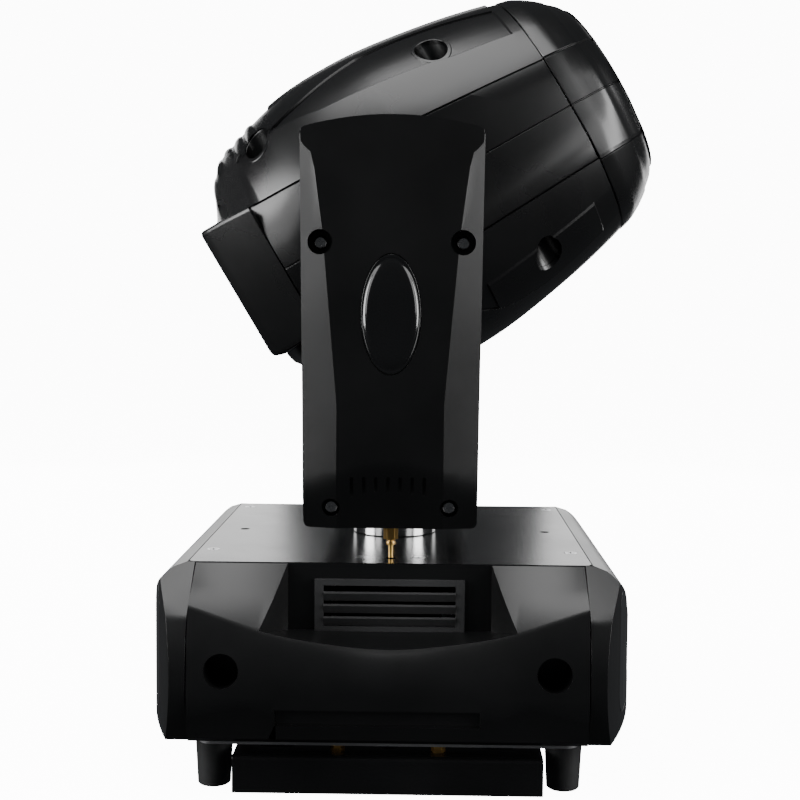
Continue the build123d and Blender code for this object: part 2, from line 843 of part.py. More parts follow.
with BuildPart() as pan_shaft:
    with BuildSketch(Plane.XY.offset(pan_pulley_bottom - 2)):
        Circle(pan_shaft_radius)
    extrude(amount=hub_top - pan_pulley_bottom + 2)
    with BuildSketch(Plane.XY.offset(plate_top + gap)):
        Circle(hub_radius)
    extrude(amount=hub_top - plate_top - gap)
    chamfer(pan_shaft.edges().filter_by(GeomType.CIRCLE).group_by(Axis.Z)[-1], 0.6)
    with BuildSketch(Plane.XY.offset(pan_pulley_bottom - 2)):
        Circle(pan_bore)
    extrude(amount=hub_top, mode=Mode.SUBTRACT)
save(pan_shaft, "pan_shaft")


# ---- Yoke --------------------------------------------------------------------------------------

frame_outer_y = frame_y + frame_thickness

with BuildPart() as yoke_frame:
    # U of folded steel: floor on the pan shaft, and a side plate up inside each arm
    with BuildSketch(Plane.YZ.offset(-34)):
        with BuildLine():
            FilletPolyline(
                (-frame_outer_y, tilt_z + 30),
                (-frame_outer_y, arm_bottom),
                (frame_outer_y, arm_bottom),
                (frame_outer_y, tilt_z + 30),
                radius=5,
            )
            offset(amount=frame_thickness, side=Side.LEFT)
        make_face()
    extrude(amount=68)
    # Round the tops of the side plates about the tilt axis
    with BuildSketch(Plane.XZ):
        with Locations((0, tilt_z)):
            Circle(34)
        with Locations((0, (tilt_z + arm_bottom) / 2)):
            Rectangle(68, tilt_z - arm_bottom)
    extrude(amount=frame_outer_y + 1, both=True, mode=Mode.INTERSECT)
    # Seats for the tilt bearings, a lightening hole in each side, and the motor's opening
    with BuildSketch(Plane.XZ):
        with Locations((0, tilt_z)):
            Circle(14)
        with Locations((0, 246)):
            SlotOverall(70, 34, rotation=90)
        with Locations((tilt_motor_x, tilt_motor_z)):
            Circle(10)
    extrude(amount=frame_outer_y + 1, both=True, mode=Mode.SUBTRACT)
    with BuildSketch(Plane.XY.offset(arm_bottom)):
        Circle(pan_bore)
        with Locations((0, -lock_circle)):
            Circle(lock_pin_radius + gap)
    extrude(amount=frame_thickness, mode=Mode.SUBTRACT)
save(yoke_frame, "yoke_frame")


def arm_outline(inset=0.0):
    """Outline of an arm in XZ: straight sides that taper down, and a shallow arc on top."""
    with BuildSketch(Plane.XZ) as outline:
        with BuildLine():
            ThreePointArc(
                (-arm_half_width, arm_corner_z), (0, arm_top), (arm_half_width, arm_corner_z)
            )
            Line((arm_half_width, arm_corner_z), (arm_foot_half_width, arm_bottom))
            Line((arm_foot_half_width, arm_bottom), (-arm_foot_half_width, arm_bottom))
            Line((-arm_foot_half_width, arm_bottom), (-arm_half_width, arm_corner_z))
        make_face()
        fillet(outline.vertices(), 4)
        if inset:
            offset(amount=-inset)
    return outline.sketch


def arm_block(inset):
    """Outer half of the front arm, from its seam out to its faceted face, moved in by inset."""
    with BuildPart() as block:
        extrude(arm_outline(inset), amount=arm_outer_y - inset)
        with BuildSketch():
            Rectangle(2 * arm_half_width, 2 * arm_split_y)
        extrude(amount=arm_top, mode=Mode.SUBTRACT)
        # Long facets down both edges, wider towards the foot
        for side in (-1, 1):
            top = Vector(side * (43 - inset), -arm_outer_y + inset, 355)
            foot = Vector(side * (28.5 - inset), -arm_outer_y + inset, 190)
            edge = Vector(side * (arm_foot_half_width - inset), -arm_outer_y + 10 + inset, 190)
            across = (foot - top).cross(edge - top) * side
            split(bisect_by=Plane(origin=top, z_dir=across), keep=Keep.BOTTOM)
    return block.part


arm_screw_points = [(x, arm_screw_z, 6.8) for x in (-arm_screw_x, arm_screw_x)] + [
    (x, arm_lower_screw_z, 5.0) for x in (-arm_lower_screw_x, arm_lower_screw_x)
]

with BuildPart() as front_arm_cover:
    add(arm_block(0))
    add(arm_block(arm_wall), mode=Mode.SUBTRACT)
    # Screw wells that run through the cover to the seam
    with BuildSketch(Plane.XZ.offset(arm_split_y)):
        for x, z, radius in arm_screw_points:
            with Locations((x, z)):
                Circle(radius + 2)
    extrude(amount=arm_outer_y - arm_split_y - 7)
    with BuildSketch(Plane.XZ.offset(arm_split_y + 6)):
        for x, z, radius in arm_screw_points:
            with Locations((x, z)):
                Circle(radius)
    extrude(amount=20, mode=Mode.SUBTRACT)
    with BuildSketch(Plane.XZ.offset(arm_split_y)):
        for x, z, _ in arm_screw_points:
            with Locations((x, z)):
                Circle(1.9)
    extrude(amount=20, mode=Mode.SUBTRACT)
    # Shallow oval seat for the badge
    with BuildSketch(Plane.XZ.offset(arm_outer_y)):
        with Locations((0, badge_z)):
            Ellipse(badge_half_x + 0.3, badge_half_z + 0.3)
    extrude(amount=-1.2, mode=Mode.SUBTRACT)
    # Vent slots near the foot
    with BuildSketch(Plane.XZ.offset(arm_outer_y)):
        with Locations((-1, 168)):
            with GridLocations(6, 0, 7, 1):
                SlotOverall(15, 2.2, rotation=90)
    extrude(amount=-arm_wall - 1, mode=Mode.SUBTRACT)
save(front_arm_cover, "front_arm_cover")

with BuildPart() as rear_arm_cover:
    mirror(front_arm_cover.part, about=Plane.XZ)
save(rear_arm_cover, "rear_arm_cover")

# Hollow of the inner cover, behind its flat wall
with BuildPart() as inner_hollow:
    extrude(arm_outline(arm_wall), amount=arm_split_y)
    with BuildSketch():
        Rectangle(2 * arm_half_width, 2 * (arm_inner_y + arm_wall))
    extrude(amount=arm_top, mode=Mode.SUBTRACT)

with BuildPart() as front_arm_inner_cover:
    extrude(arm_outline(), amount=arm_split_y - seam_gap / 2)
    with BuildSketch():
        Rectangle(2 * arm_half_width, 2 * arm_inner_y)
    extrude(amount=arm_top, mode=Mode.SUBTRACT)
    add(inner_hollow.part, mode=Mode.SUBTRACT)
    # Bosses behind the outer cover's screw wells
    with BuildSketch(Plane.XZ.offset(arm_inner_y)):
        for x, z, radius in arm_screw_points:
            with Locations((x, z)):
                Circle(4.2)
            with Locations((x, z)):
                Circle(1.75, mode=Mode.SUBTRACT)
    extrude(amount=arm_split_y - seam_gap / 2 - arm_inner_y)
    # Way through for the crossbar, the yoke frame and the tilt axle
    with BuildSketch(Plane.XZ):
        with Locations((0, arm_bottom + 20)):
            Rectangle(70, 40)
    extrude(amount=frame_outer_y + 0.3, mode=Mode.SUBTRACT)
    with BuildSketch(Plane.XZ):
        with Locations((0, tilt_z)):
            Circle(tilt_axle_radius + 3)
    extrude(amount=arm_split_y, mode=Mode.SUBTRACT)
save(front_arm_inner_cover, "front_arm_inner_cover")

with BuildPart() as rear_arm_inner_cover:
    mirror(front_arm_inner_cover.part, about=Plane.XZ)
save(rear_arm_inner_cover, "rear_arm_inner_cover")

with BuildPart() as crossbar_cover:
    with BuildSketch(Plane.XZ):
        with BuildLine():
            FilletPolyline(
                (-45, arm_bottom),
                (-45, crossbar_top - 4),
                (-30, crossbar_top),
                (30, crossbar_top),
                (45, crossbar_top - 4),
                (45, arm_bottom),
                radius=4,
            )
            offset(amount=arm_wall, side=Side.RIGHT)
        make_face()
    extrude(amount=arm_inner_y - 0.3, both=True)
save(crossbar_cover, "crossbar_cover")

with BuildPart() as arm_screws:
    for side in (-1, 1):
        for x, z, _ in arm_screw_points:
            seat = facing(side, arm_split_y + 6, x, z)
            add(screw(seat, 3.75, 1.7, 14))
save(arm_screws, "arm_screws")

with BuildPart() as arm_badges:
    for side in (-1, 1):
        with BuildSketch(facing(side, arm_outer_y - 1.2, 0, badge_z)):
            Ellipse(badge_half_x, badge_half_z)
        extrude(amount=2.6)
    fillet(arm_badges.faces().sort_by(Axis.Y)[0].edges(), 1.4)
    fillet(arm_badges.faces().sort_by(Axis.Y)[-1].edges(), 1.4)
save(arm_badges, "arm_badges")

tilt_belt_run = Vector(tilt_motor_x, 0, tilt_motor_z - tilt_z)
tilt_drive_plane = Plane(
    origin=(0, -tilt_pulley_y, tilt_z), x_dir=tilt_belt_run.normalized(), z_dir=(0, -1, 0)
)
tilt_motor_plane = facing(-1, tilt_pulley_y, tilt_motor_x, tilt_motor_z)

with BuildPart() as tilt_motor:
    with BuildSketch(facing(-1, frame_y, tilt_motor_x, tilt_motor_z)):
        RectangleRounded(tilt_motor_size, tilt_motor_size, 3.5)
        Circle(motor_shaft_radius + running_fit, mode=Mode.SUBTRACT)
    extrude(amount=-32)
save(tilt_motor, "tilt_motor")

with BuildPart() as tilt_motor_pulley:
    add(motor_pulley(tilt_motor_plane, tilt_motor_pulley_radius, 34))
save(tilt_motor_pulley, "tilt_motor_pulley")

with BuildPart() as tilt_belt:
    add(
        belt_loop(
            tilt_drive_plane.offset(2),
            tilt_belt_run.length,
            tilt_pulley_radius + gap,
            tilt_motor_pulley_radius + gap,
            pulley_width - 4,
        )
    )
save(tilt_belt, "tilt_belt")

with BuildPart() as tilt_bearings:
    for side in (-1, 1):
        with BuildSketch(facing(side, frame_y - 1.5, 0, tilt_z)):
            Circle(14)
            Circle(tilt_axle_radius + running_fit, mode=Mode.SUBTRACT)
        extrude(amount=7)
        with BuildSketch(facing(side, frame_y - 1.5, 0, tilt_z)):
            Circle(15.5)
            Circle(13, mode=Mode.SUBTRACT)
        extrude(amount=1.5)
save(tilt_bearings, "tilt_bearings")

with BuildPart() as pan_lock_body:
    with BuildSketch(Plane.XY.offset(arm_bottom)):
        with Locations((0, -lock_circle)):
            RegularPolygon(4.2, 6)
            Circle(lock_pin_radius + running_fit, mode=Mode.SUBTRACT)
    extrude(amount=-10)
save(pan_lock_body, "pan_lock_body")

with BuildPart() as pan_lock_pin:
    with BuildSketch(Plane.XY.offset(plate_top + 0.5)):
        with Locations((0, -lock_circle)):
            Circle(lock_pin_radius)
    extrude(amount=arm_bottom + frame_thickness - plate_top)
    with BuildSketch(Plane.XY.offset(plate_top + lock_travel + 1)):
        with Locations((0, -lock_circle)):
            Circle(2.6)
    extrude(amount=2)
save(pan_lock_pin, "pan_lock_pin")


# ---- Head: covers ------------------------------------------------------------------------------


def head_block(inset):
    """Whole outer form of the head: a turned barrel with flattened cheeks, moved in by inset."""
    rear = head_rear + inset
    front = head_front - inset
    points = [
        (min(max(u, rear), front), radius + head_offset - inset) for u, radius in cover_outline
    ]
    rim = (front, 54 + head_offset - inset)
    with BuildPart() as block:
        with BuildSketch(head_side):
            with BuildLine():
                Spline(*points)
                Polyline(points[-1], rim, (front, head_offset), (rear, head_offset), points[0])
            make_face()
        revolve(axis=head_centreline)
        with BuildSketch(head_plan):
            with BuildLine():
                edge = [(u, y - inset) for u, y in cheek_outline]
                Spline(*edge)
                Line(edge[-1], (edge[-1][0], 0))
                Line((edge[0][0], 0), edge[0])
                mirror(about=Plane.XZ)
            make_face()
        extrude(amount=120, both=True, mode=Mode.INTERSECT)
    return block.part


head_outer = head_block(0)
head_inner = head_block(wall)

# Seams between the covers, as lines in the side plane
upper_seam = [(rear_cover_front + 0.3, 43.6), (bezel_rear - 0.3, 31.2)]
tail_seam_end = (-112, 46.3)
lower_seam = [(rear_cover_front + 0.3, -38.6), (bezel_rear - 0.3, -34.2)]


def cut_of_shell(*corners):
    """Piece of the head's shell inside a polygon in the side plane."""
    with BuildPart() as piece:
        add(head_outer)
        add(head_inner, mode=Mode.SUBTRACT)
        with BuildSketch(head_side):
            with BuildLine():
                Polyline(*corners, close=True)
            make_face()
        extrude(amount=110, both=True, mode=Mode.INTERSECT)
    return piece.part


def shifted(point, v):
    """Point of a seam moved across it by v."""
    return (point[0], point[1] + v)


def well_points(side):
    """Places of the screw wells on one side of the head, as (u, v, y), for both halves."""
    points = []
    for u, angle, radius in well_places:
        v = radius * sin(radians(angle))
        y = side * radius * cos(radians(angle))
        points.append((u, v, y))
    return points


def cover_with_wells(corners, up):
    """Top (up = 1) or bottom (up = -1) cover with its four screw wells."""
    wells = well_points(1) + well_points(-1)
    well_floor = 48.0
    with BuildPart() as liners:
        add(head_outer)
        with BuildSketch(head_plan.offset(head_offset + up * (well_floor - wall))):
            for u, _, y in wells:
                with Locations((u, y)):
                    Circle(screw_well_radius + 2)
        extrude(amount=up * 70, mode=Mode.INTERSECT)
    with BuildPart() as cover:
        add(cut_of_shell(*corners))
        add(liners.part)
        with BuildSketch(head_plan.offset(head_offset + up * well_floor)):
            for u, _, y in wells:
                with Locations((u, y)):
                    Circle(screw_well_radius)
        extrude(amount=up * 70, mode=Mode.SUBTRACT)
        with BuildSketch(head_plan.offset(head_offset + up * (well_floor - wall - 1))):
            for u, _, y in wells:
                with Locations((u, y)):
                    Circle(1.9)
        extrude(amount=up * 10, mode=Mode.SUBTRACT)
    return cover.part


with BuildPart() as head_top_cover:
    add(
        cover_with_wells(
            (
                shifted(tail_seam_end, seam_gap / 2),
                shifted(upper_seam[1], seam_gap / 2),
                (bezel_rear - 0.3, 120),
                (-112, 120),
            ),
            1,
        )
    )
save(head_top_cover, "head_top_cover")

with BuildPart() as head_bottom_cover:
    add(
        cover_with_wells(
            (
                shifted(lower_seam[0], -seam_gap / 2),
                shifted(lower_seam[1], -seam_gap / 2),
                (bezel_rear - 0.3, -120),
                (rear_cover_front + 0.3, -120),
            ),
            -1,
        )
    )
save(head_bottom_cover, "head_bottom_cover")

cheeks = cut_of_shell(
    shifted(upper_seam[0], -seam_gap / 2),
    shifted(upper_seam[1], -seam_gap / 2),
    shifted(lower_seam[1], seam_gap / 2),
    shifted(lower_seam[0], seam_gap / 2),
)
with BuildPart() as head_cheeks:
    add(cheeks)
    with BuildSketch(Plane.XZ):
        with Locations((0, tilt_z)):
            Circle(tilt_axle_radius + 0.5)
    extrude(amount=110, both=True, mode=Mode.SUBTRACT)
save(head_cheeks, "head_cheeks")

with BuildPart() as head_rear_cover:
    add(
        cut_of_shell(
            (-112, -120),
            (rear_cover_front - 0.3, -120),
            shifted(upper_seam[0], -seam_gap / 2),
            shifted(tail_seam_end, -seam_gap / 2),
        )
    )
    # Air slots in the flat rear face
    with BuildSketch(optic(head_rear - 1)):
        with GridLocations(7.5, 0, 7, 1):
            SlotOverall(54, 3.4, rotation=90)
    extrude(amount=wall + 2, mode=Mode.SUBTRACT)
save(head_rear_cover, "head_rear_cover")

with BuildPart() as front_bezel:
    add(
        cut_of_shell(
            (bezel_rear + 0.3, -120), (160, -120), (160, 120), (bezel_rear + 0.3, 120)
        )
    )
    with BuildSketch(optic(head_front - wall - 6, head_offset)):
        Circle(lens_opening)
    extrude(amount=20, mode=Mode.SUBTRACT)
save(front_bezel, "front_bezel")

with BuildPart() as head_cover_screws:
    for up in (-1, 1):
        for u, _, y in well_points(1) + well_points(-1):
            seat_point = head_plan.from_local_coords((u, y, head_offset + up * 48.0))
            add(screw(Plane(origin=seat_point, z_dir=optic_up * up), 4.2, 1.7, 12))
save(head_cover_screws, "head_cover_screws")


# ---- Head: optics and cooling ------------------------------------------------------------------

with BuildPart() as head_frame:
    # Side plates that carry the tilt axles
    for side in (-1, 1):
        with BuildSketch(Plane(origin=pivot + Vector(0, side * frame_plate_y, 0),
                               x_dir=optic_axis, z_dir=(0, -1, 0))):
            with Locations((18, 0)):
                RectangleRounded(164, 44, 6)
        extrude(amount=-side * 2)
    # Bulkheads for the light source and the two wheels
    for u in bulkhead_u.values():
        with BuildSketch(optic(u)):
            Circle(84)
            Rectangle(200, 2 * frame_plate_y + 1, mode=Mode.INTERSECT)
            Circle(beam_radius, mode=Mode.SUBTRACT)
            with Locations((-wheel_offset, 0), (wheel_offset, 0)):
                Circle(4, mode=Mode.SUBTRACT)
        extrude(amount=bulkhead_thickness)
    # Tube that holds the condenser lens
    with BuildSketch(optic(bulkhead_u["gobo"])):
        Circle(19.5)
        Circle(17.5, mode=Mode.SUBTRACT)
    extrude(amount=-20)
save(head_frame, "head_frame")

with BuildPart() as tilt_axles:
    for side in (-1, 1):
        with BuildSketch(facing(side, frame_plate_y + 2, 0, tilt_z)):
            Circle(15)
        extrude(amount=4)
        with BuildSketch(facing(side, frame_plate_y + 2, 0, tilt_z)):
            Circle(tilt_axle_radius)
        extrude(amount=118 - frame_plate_y - 2)
        with BuildSketch(facing(side, frame_plate_y + 2, 0, tilt_z)):
            Circle(4)
        extrude(amount=60, mode=Mode.SUBTRACT)
save(tilt_axles, "tilt_axles")

with BuildPart() as tilt_pulley:
    add(pulley(facing(-1, tilt_pulley_y, 0, tilt_z), tilt_pulley_radius, tilt_axle_radius,
               pulley_width))
save(tilt_pulley, "tilt_pulley")

led_front = bulkhead_u["led"] + bulkhead_thickness
with BuildPart() as led_module:
    with BuildSketch(optic(led_front)):
        Circle(20)
    extrude(amount=1.6)
    with BuildSketch(optic(led_front + 1.6)):
        Circle(9)
    extrude(amount=3)
    fillet(led_module.edges().filter_by(GeomType.CIRCLE).sort_by(plane_distance(optic(0)))[-1], 2.5)
save(led_module, "led_module")

with BuildPart() as heat_sink:
    with BuildSketch(optic(bulkhead_u["led"])):
        Rectangle(heat_sink_size, heat_sink_size)
    extrude(amount=-6)
    with BuildSketch(optic(bulkhead_u["led"] - 6)):
        with GridLocations(0, 6.85, 1, 13):
            Rectangle(heat_sink_size, 1.8)
    extrude(amount=-44)
save(heat_sink, "heat_sink")

head_fan_plane = optic(head_rear + wall + 0.5)
with BuildPart() as head_fan_frame:
    add(fan_frame(head_fan_plane, 60, 15, 27.5))
save(head_fan_frame, "head_fan_frame")

with BuildPart() as head_fan_rotor:
    add(fan_rotor(head_fan_plane, 15, 27.5))
save(head_fan_rotor, "head_fan_rotor")


def convex_lens(plane, radius, edge, bulge):
    """Lens with a flat back on the plane, a cylindrical edge and a domed front."""
    sphere_radius = (radius**2 + bulge**2) / (2 * bulge)
    with BuildPart() as lens:
        with BuildSketch(plane):
            Circle(radius)
        extrude(amount=edge + bulge)
        with Locations(plane.offset(edge + bulge - sphere_radius)):
            Sphere(sphere_radius, mode=Mode.INTERSECT)
    return lens.part


with BuildPart() as condenser_lens:
    add(convex_lens(optic(-18), 17.5, 2.5, 7.5))
save(condenser_lens, "condenser_lens")


def effect_wheel(plane, shaft_length, holes):
    """Disc with a ring of holes and a shaft that reaches back from the plane."""
    with BuildPart() as wheel:
        with BuildSketch(plane):
            Circle(wheel_radius)
            with PolarLocations(wheel_offset, holes):
                Circle(wheel_hole_radius, mode=Mode.SUBTRACT)
        extrude(amount=wheel_thickness)
        with BuildSketch(plane.offset(-shaft_length)):
            Circle(motor_shaft_radius)
        extrude(amount=shaft_length)
    return wheel.part


def wheel_motor(plane):
    """Square stepper motor behind the plane, with a bore for the wheel's shaft."""
    with BuildPart() as motor:
        with BuildSketch(plane):
            RectangleRounded(wheel_motor_size, wheel_motor_size, 3)
            Circle(motor_shaft_radius + running_fit, mode=Mode.SUBTRACT)
        extrude(amount=-wheel_motor_length)
    return motor.part


def wheel_plane(u, v, forward):
    """Plane at u and height v whose normal points forward (1) or back (-1)."""
    return Plane(
        origin=pivot + optic_axis * u + optic_up * v,
        x_dir=-optic_up if v > 0 else optic_up,
        z_dir=optic_axis * forward,
    )


with BuildPart() as wheel_motors:
    add(wheel_motor(wheel_plane(bulkhead_u["gobo"], -wheel_offset, 1)))
    add(
        wheel_motor(wheel_plane(bulkhead_u["colour"] + bulkhead_thickness, wheel_offset, -1))
    )
save(wheel_motors, "wheel_motors")

with BuildPart() as gobo_wheel:
    add(effect_wheel(wheel_plane(3.0, -wheel_offset, 1), 20, 7))
save(gobo_wheel, "gobo_wheel")

with BuildPart() as colour_wheel:
    add(effect_wheel(wheel_plane(8.2, wheel_offset, -1), 20, 8))
save(colour_wheel, "colour_wheel")

with BuildPart() as front_lens:
    add(convex_lens(optic(lens_u, head_offset), lens_radius, 4, 7.5))
save(front_lens, "front_lens")
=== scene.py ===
import json
import math

import bmesh
import bpy
import numpy as np
from mathutils import Matrix, Vector


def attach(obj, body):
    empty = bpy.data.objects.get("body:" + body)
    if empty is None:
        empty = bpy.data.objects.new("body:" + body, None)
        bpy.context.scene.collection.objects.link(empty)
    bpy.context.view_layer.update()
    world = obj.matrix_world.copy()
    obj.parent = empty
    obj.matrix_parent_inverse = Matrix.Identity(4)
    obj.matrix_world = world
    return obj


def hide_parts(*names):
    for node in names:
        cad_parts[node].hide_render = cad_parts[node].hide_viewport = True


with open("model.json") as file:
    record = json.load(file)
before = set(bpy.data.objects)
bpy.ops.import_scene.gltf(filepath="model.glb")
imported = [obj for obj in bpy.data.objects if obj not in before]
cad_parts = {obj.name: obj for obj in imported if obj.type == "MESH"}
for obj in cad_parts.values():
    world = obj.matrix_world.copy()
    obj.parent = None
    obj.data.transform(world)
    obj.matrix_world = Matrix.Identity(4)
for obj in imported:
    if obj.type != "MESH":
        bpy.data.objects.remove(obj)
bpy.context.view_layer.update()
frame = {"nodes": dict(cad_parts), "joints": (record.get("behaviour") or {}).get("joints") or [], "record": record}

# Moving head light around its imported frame. Metres; lengths below that are given in millimetres
# are turned into metres by MM. The front of the light looks along -Y and the head leans to +X.

MM = 0.001
joints = {joint["name"]: joint for joint in frame["joints"]}
pivot = Vector(joints["tilt"]["pos_m"])
optic = Vector(joints["gobo_wheel_turn"]["axis"]).normalized()
optic_up = Vector((-optic.z, 0, optic.x))


# ---- Materials ---------------------------------------------------------------------------------


def new_material(name, colour, roughness, metallic=0.0, coat=0.0, specular=0.5):
    """Principled material whose plain values stand on the shader's own sockets."""
    material = bpy.data.materials.new(name)
    material.use_nodes = True
    shader = material.node_tree.nodes["Principled BSDF"]
    shader.inputs["Base Color"].default_value = (*colour, 1.0)
    shader.inputs["Roughness"].default_value = roughness
    shader.inputs["Metallic"].default_value = metallic
    shader.inputs["Coat Weight"].default_value = coat
    shader.inputs["Coat Roughness"].default_value = 0.12
    shader.inputs["Specular IOR Level"].default_value = specular
    return material, shader


def noise(tree, scale, detail=3.0, stretch=(1.0, 1.0, 1.0)):
    """Noise over the object's own coordinates; scale is in cycles per metre."""
    place = tree.nodes.new("ShaderNodeTexCoord")
    mapping = tree.nodes.new("ShaderNodeMapping")
    mapping.inputs["Scale"].default_value = stretch
    texture = tree.nodes.new("ShaderNodeTexNoise")
    texture.inputs["Scale"].default_value = scale
    texture.inputs["Detail"].default_value = detail
    tree.links.new(place.outputs["Object"], mapping.inputs["Vector"])
    tree.links.new(mapping.outputs["Vector"], texture.inputs["Vector"])
    return texture.outputs["Fac"]


def spread(tree, value, low, high):
    """Map a noise value onto low..high."""
    remap = tree.nodes.new("ShaderNodeMapRange")
    remap.inputs["From Min"].default_value = 0.3
    remap.inputs["From Max"].default_value = 0.7
    remap.inputs["To Min"].default_value = low
    remap.inputs["To Max"].default_value = high
    tree.links.new(value, remap.inputs["Value"])
    return remap.outputs["Result"]


def add_bump(tree, shader, height, distance, strength):
    """Bump from a height value; distance is the relief in metres."""
    bump = tree.nodes.new("ShaderNodeBump")
    bump.inputs["Distance"].default_value = distance
    bump.inputs["Strength"].default_value = strength
    tree.links.new(height, bump.inputs["Height"])
    tree.links.new(bump.outputs["Normal"], shader.inputs["Normal"])


def tint(tree, shader, value, dark, light):
    """Colour that wanders between two tones with a noise value."""
    mix = tree.nodes.new("ShaderNodeMix")
    mix.data_type = "RGBA"
    mix.inputs["A"].default_value = (*dark, 1.0)
    mix.inputs["B"].default_value = (*light, 1.0)
    tree.links.new(value, mix.inputs["Factor"])
    tree.links.new(mix.outputs["Result"], shader.inputs["Base Color"])


def grained(name, dark, light, rough, grain, relief, coat=0.0, metallic=0.0, stretch=(1, 1, 1),
            specular=0.5, cloud=14.0):
    """Surface with a fine grain in its relief and slow clouds in its colour and gloss.

    rough is (lowest, highest) roughness, grain the grain's cycles per metre, relief its depth.
    """
    middle = [(a + b) / 2 for a, b in zip(dark, light)]
    material, shader = new_material(name, middle, sum(rough) / 2, metallic, coat, specular)
    tree = material.node_tree
    clouds = noise(tree, cloud, 4.0)
    tint(tree, shader, spread(tree, clouds, 0.0, 1.0), dark, light)
    tree.links.new(spread(tree, clouds, *rough), shader.inputs["Roughness"])
    add_bump(tree, shader, noise(tree, grain, 2.0, stretch), relief, 0.6)
    return material


def black(level):
    """Neutral black with a trace of blue."""
    return (level, level * 1.03, level * 1.1)


MATERIALS = {
    "head_plastic": grained("head_plastic", black(0.0025), black(0.004), (0.25, 0.31), 2600, 2e-5),
    "black_plastic": grained("black_plastic", black(0.0025), black(0.004), (0.28, 0.34), 2200,
                             3e-5),
    "vent_plastic": grained("vent_plastic", black(0.004), black(0.018), (0.5, 0.75), 1300, 1e-4),
    "gloss_black": grained("gloss_black", black(0.004), black(0.006), (0.08, 0.14), 900, 4e-6,
                           coat=0.6),
    "black_steel": grained("black_steel", black(0.003), black(0.005), (0.20, 0.26), 1500, 1.5e-5),
    "screw_steel": grained("screw_steel", (0.42, 0.42, 0.43), (0.6, 0.6, 0.61), (0.2, 0.34), 1800,
                           2e-5, metallic=1.0),
    "black_screw": grained("black_screw", black(0.014), black(0.022), (0.3, 0.42), 1800, 2e-5,
                           metallic=0.6),
    "polished_steel": grained("polished_steel", (0.7, 0.7, 0.7), (0.8, 0.8, 0.8), (0.08, 0.16), 900,
                              1e-5, metallic=1.0, stretch=(1, 1, 12)),
    "brass": grained("brass", (0.52, 0.30, 0.09), (0.66, 0.42, 0.14), (0.22, 0.36), 1400, 2e-5,
                     metallic=1.0),
    "bare_steel": grained("bare_steel", (0.38, 0.38, 0.39), (0.5, 0.5, 0.51), (0.32, 0.46), 700,
                          1e-5, metallic=1.0),
    "aluminium": grained("aluminium", (0.52, 0.53, 0.54), (0.62, 0.63, 0.64), (0.28, 0.4), 1200,
                         2e-5, metallic=1.0, stretch=(8, 1, 1)),
    "motor_black": grained("motor_black", black(0.02), black(0.03), (0.4, 0.5), 1100, 2e-5,
                           metallic=0.3),
    "foot_rubber": grained("foot_rubber", black(0.006), black(0.010), (0.5, 0.65), 1600, 6e-5),
    "belt_rubber": grained("belt_rubber", black(0.015), black(0.022), (0.6, 0.75), 1500, 5e-5),
    "button_rubber": grained("button_rubber", black(0.06), black(0.08), (0.5, 0.6), 2400, 3e-5),
    "board_green": grained("board_green", (0.006, 0.07, 0.03), (0.01, 0.1, 0.045), (0.25, 0.4), 600,
                           2e-5),
    "fan_plastic": grained("fan_plastic", black(0.016), black(0.024), (0.4, 0.5), 1800, 2e-5),
    "led_yellow": grained("led_yellow", (0.7, 0.6, 0.2), (0.8, 0.72, 0.3), (0.15, 0.25), 900, 1e-5),
    "wheel_metal": grained("wheel_metal", black(0.05), black(0.08), (0.35, 0.5), 1100, 1e-5,
                           metallic=0.8),
    "colour_filter": grained("colour_filter", (0.12, 0.14, 0.22), (0.2, 0.22, 0.3), (0.2, 0.3), 900,
                             1e-5, metallic=0.8),
}


def glass_material(name, colour, roughness, transmission):
    """Glass with a faint unevenness in its gloss."""
    material, shader = new_material(name, colour, roughness, coat=0.3)
    shader.inputs["Transmission Weight"].default_value = transmission
    shader.inputs["IOR"].default_value = 1.5
    tree = material.node_tree
    gloss = spread(tree, noise(tree, 30), roughness, roughness + 0.03)
    tree.links.new(gloss, shader.inputs["Roughness"])
    add_bump(tree, shader, noise(tree, 45), 1e-5, 0.3)
    return material


MATERIALS["lens_glass"] = glass_material("lens_glass", (0.86, 0.9, 0.94), 0.02, 0.95)
MATERIALS["display_glass"] = glass_material("display_glass", (0.01, 0.03, 0.06), 0.06, 0.15)


# ---- Mesh helpers ------------------------------------------------------------------------------


def object_from(bm, name):
    """Finish a bmesh as an object with outward normals."""
    bmesh.ops.recalc_face_normals(bm, faces=bm.faces)
    mesh = bpy.data.meshes.new(name)
    bm.to_mesh(mesh)
    bm.free()
    piece = bpy.data.objects.new(name, mesh)
    bpy.context.scene.collection.objects.link(piece)
    return piece


def add_grid(bm, rows, wrap=False):
    """Quads between rows of points given in millimetres; wrap joins each row's ends."""
    rings = [[bm.verts.new(Vector(point) * MM) for point in row] for row in rows]
    count = len(rings[0])
    for low, high in zip(rings, rings[1:]):
        for i in range(count if wrap else count - 1):
            j = (i + 1) % count
            bm.faces.new((low[i], low[j], high[j], high[i]))
    return rings


def grid_solid(name, rows, back_y):
    """Solid between a grid of points and the flat plane y = back_y behind it."""
    bm = bmesh.new()
    front = add_grid(bm, rows)
    border = list(front[0]) + [row[-1] for row in front[1:-1]] + list(front[-1][::-1])
    border += [row[0] for row in front[-2:0:-1]]
    behind = [bm.verts.new((v.co.x, back_y * MM, v.co.z)) for v in border]
    for i, vert in enumerate(border):
        j = (i + 1) % len(border)
        bm.faces.new((vert, border[j], behind[j], behind[i]))
    bm.faces.new(behind)
    return object_from(bm, name)


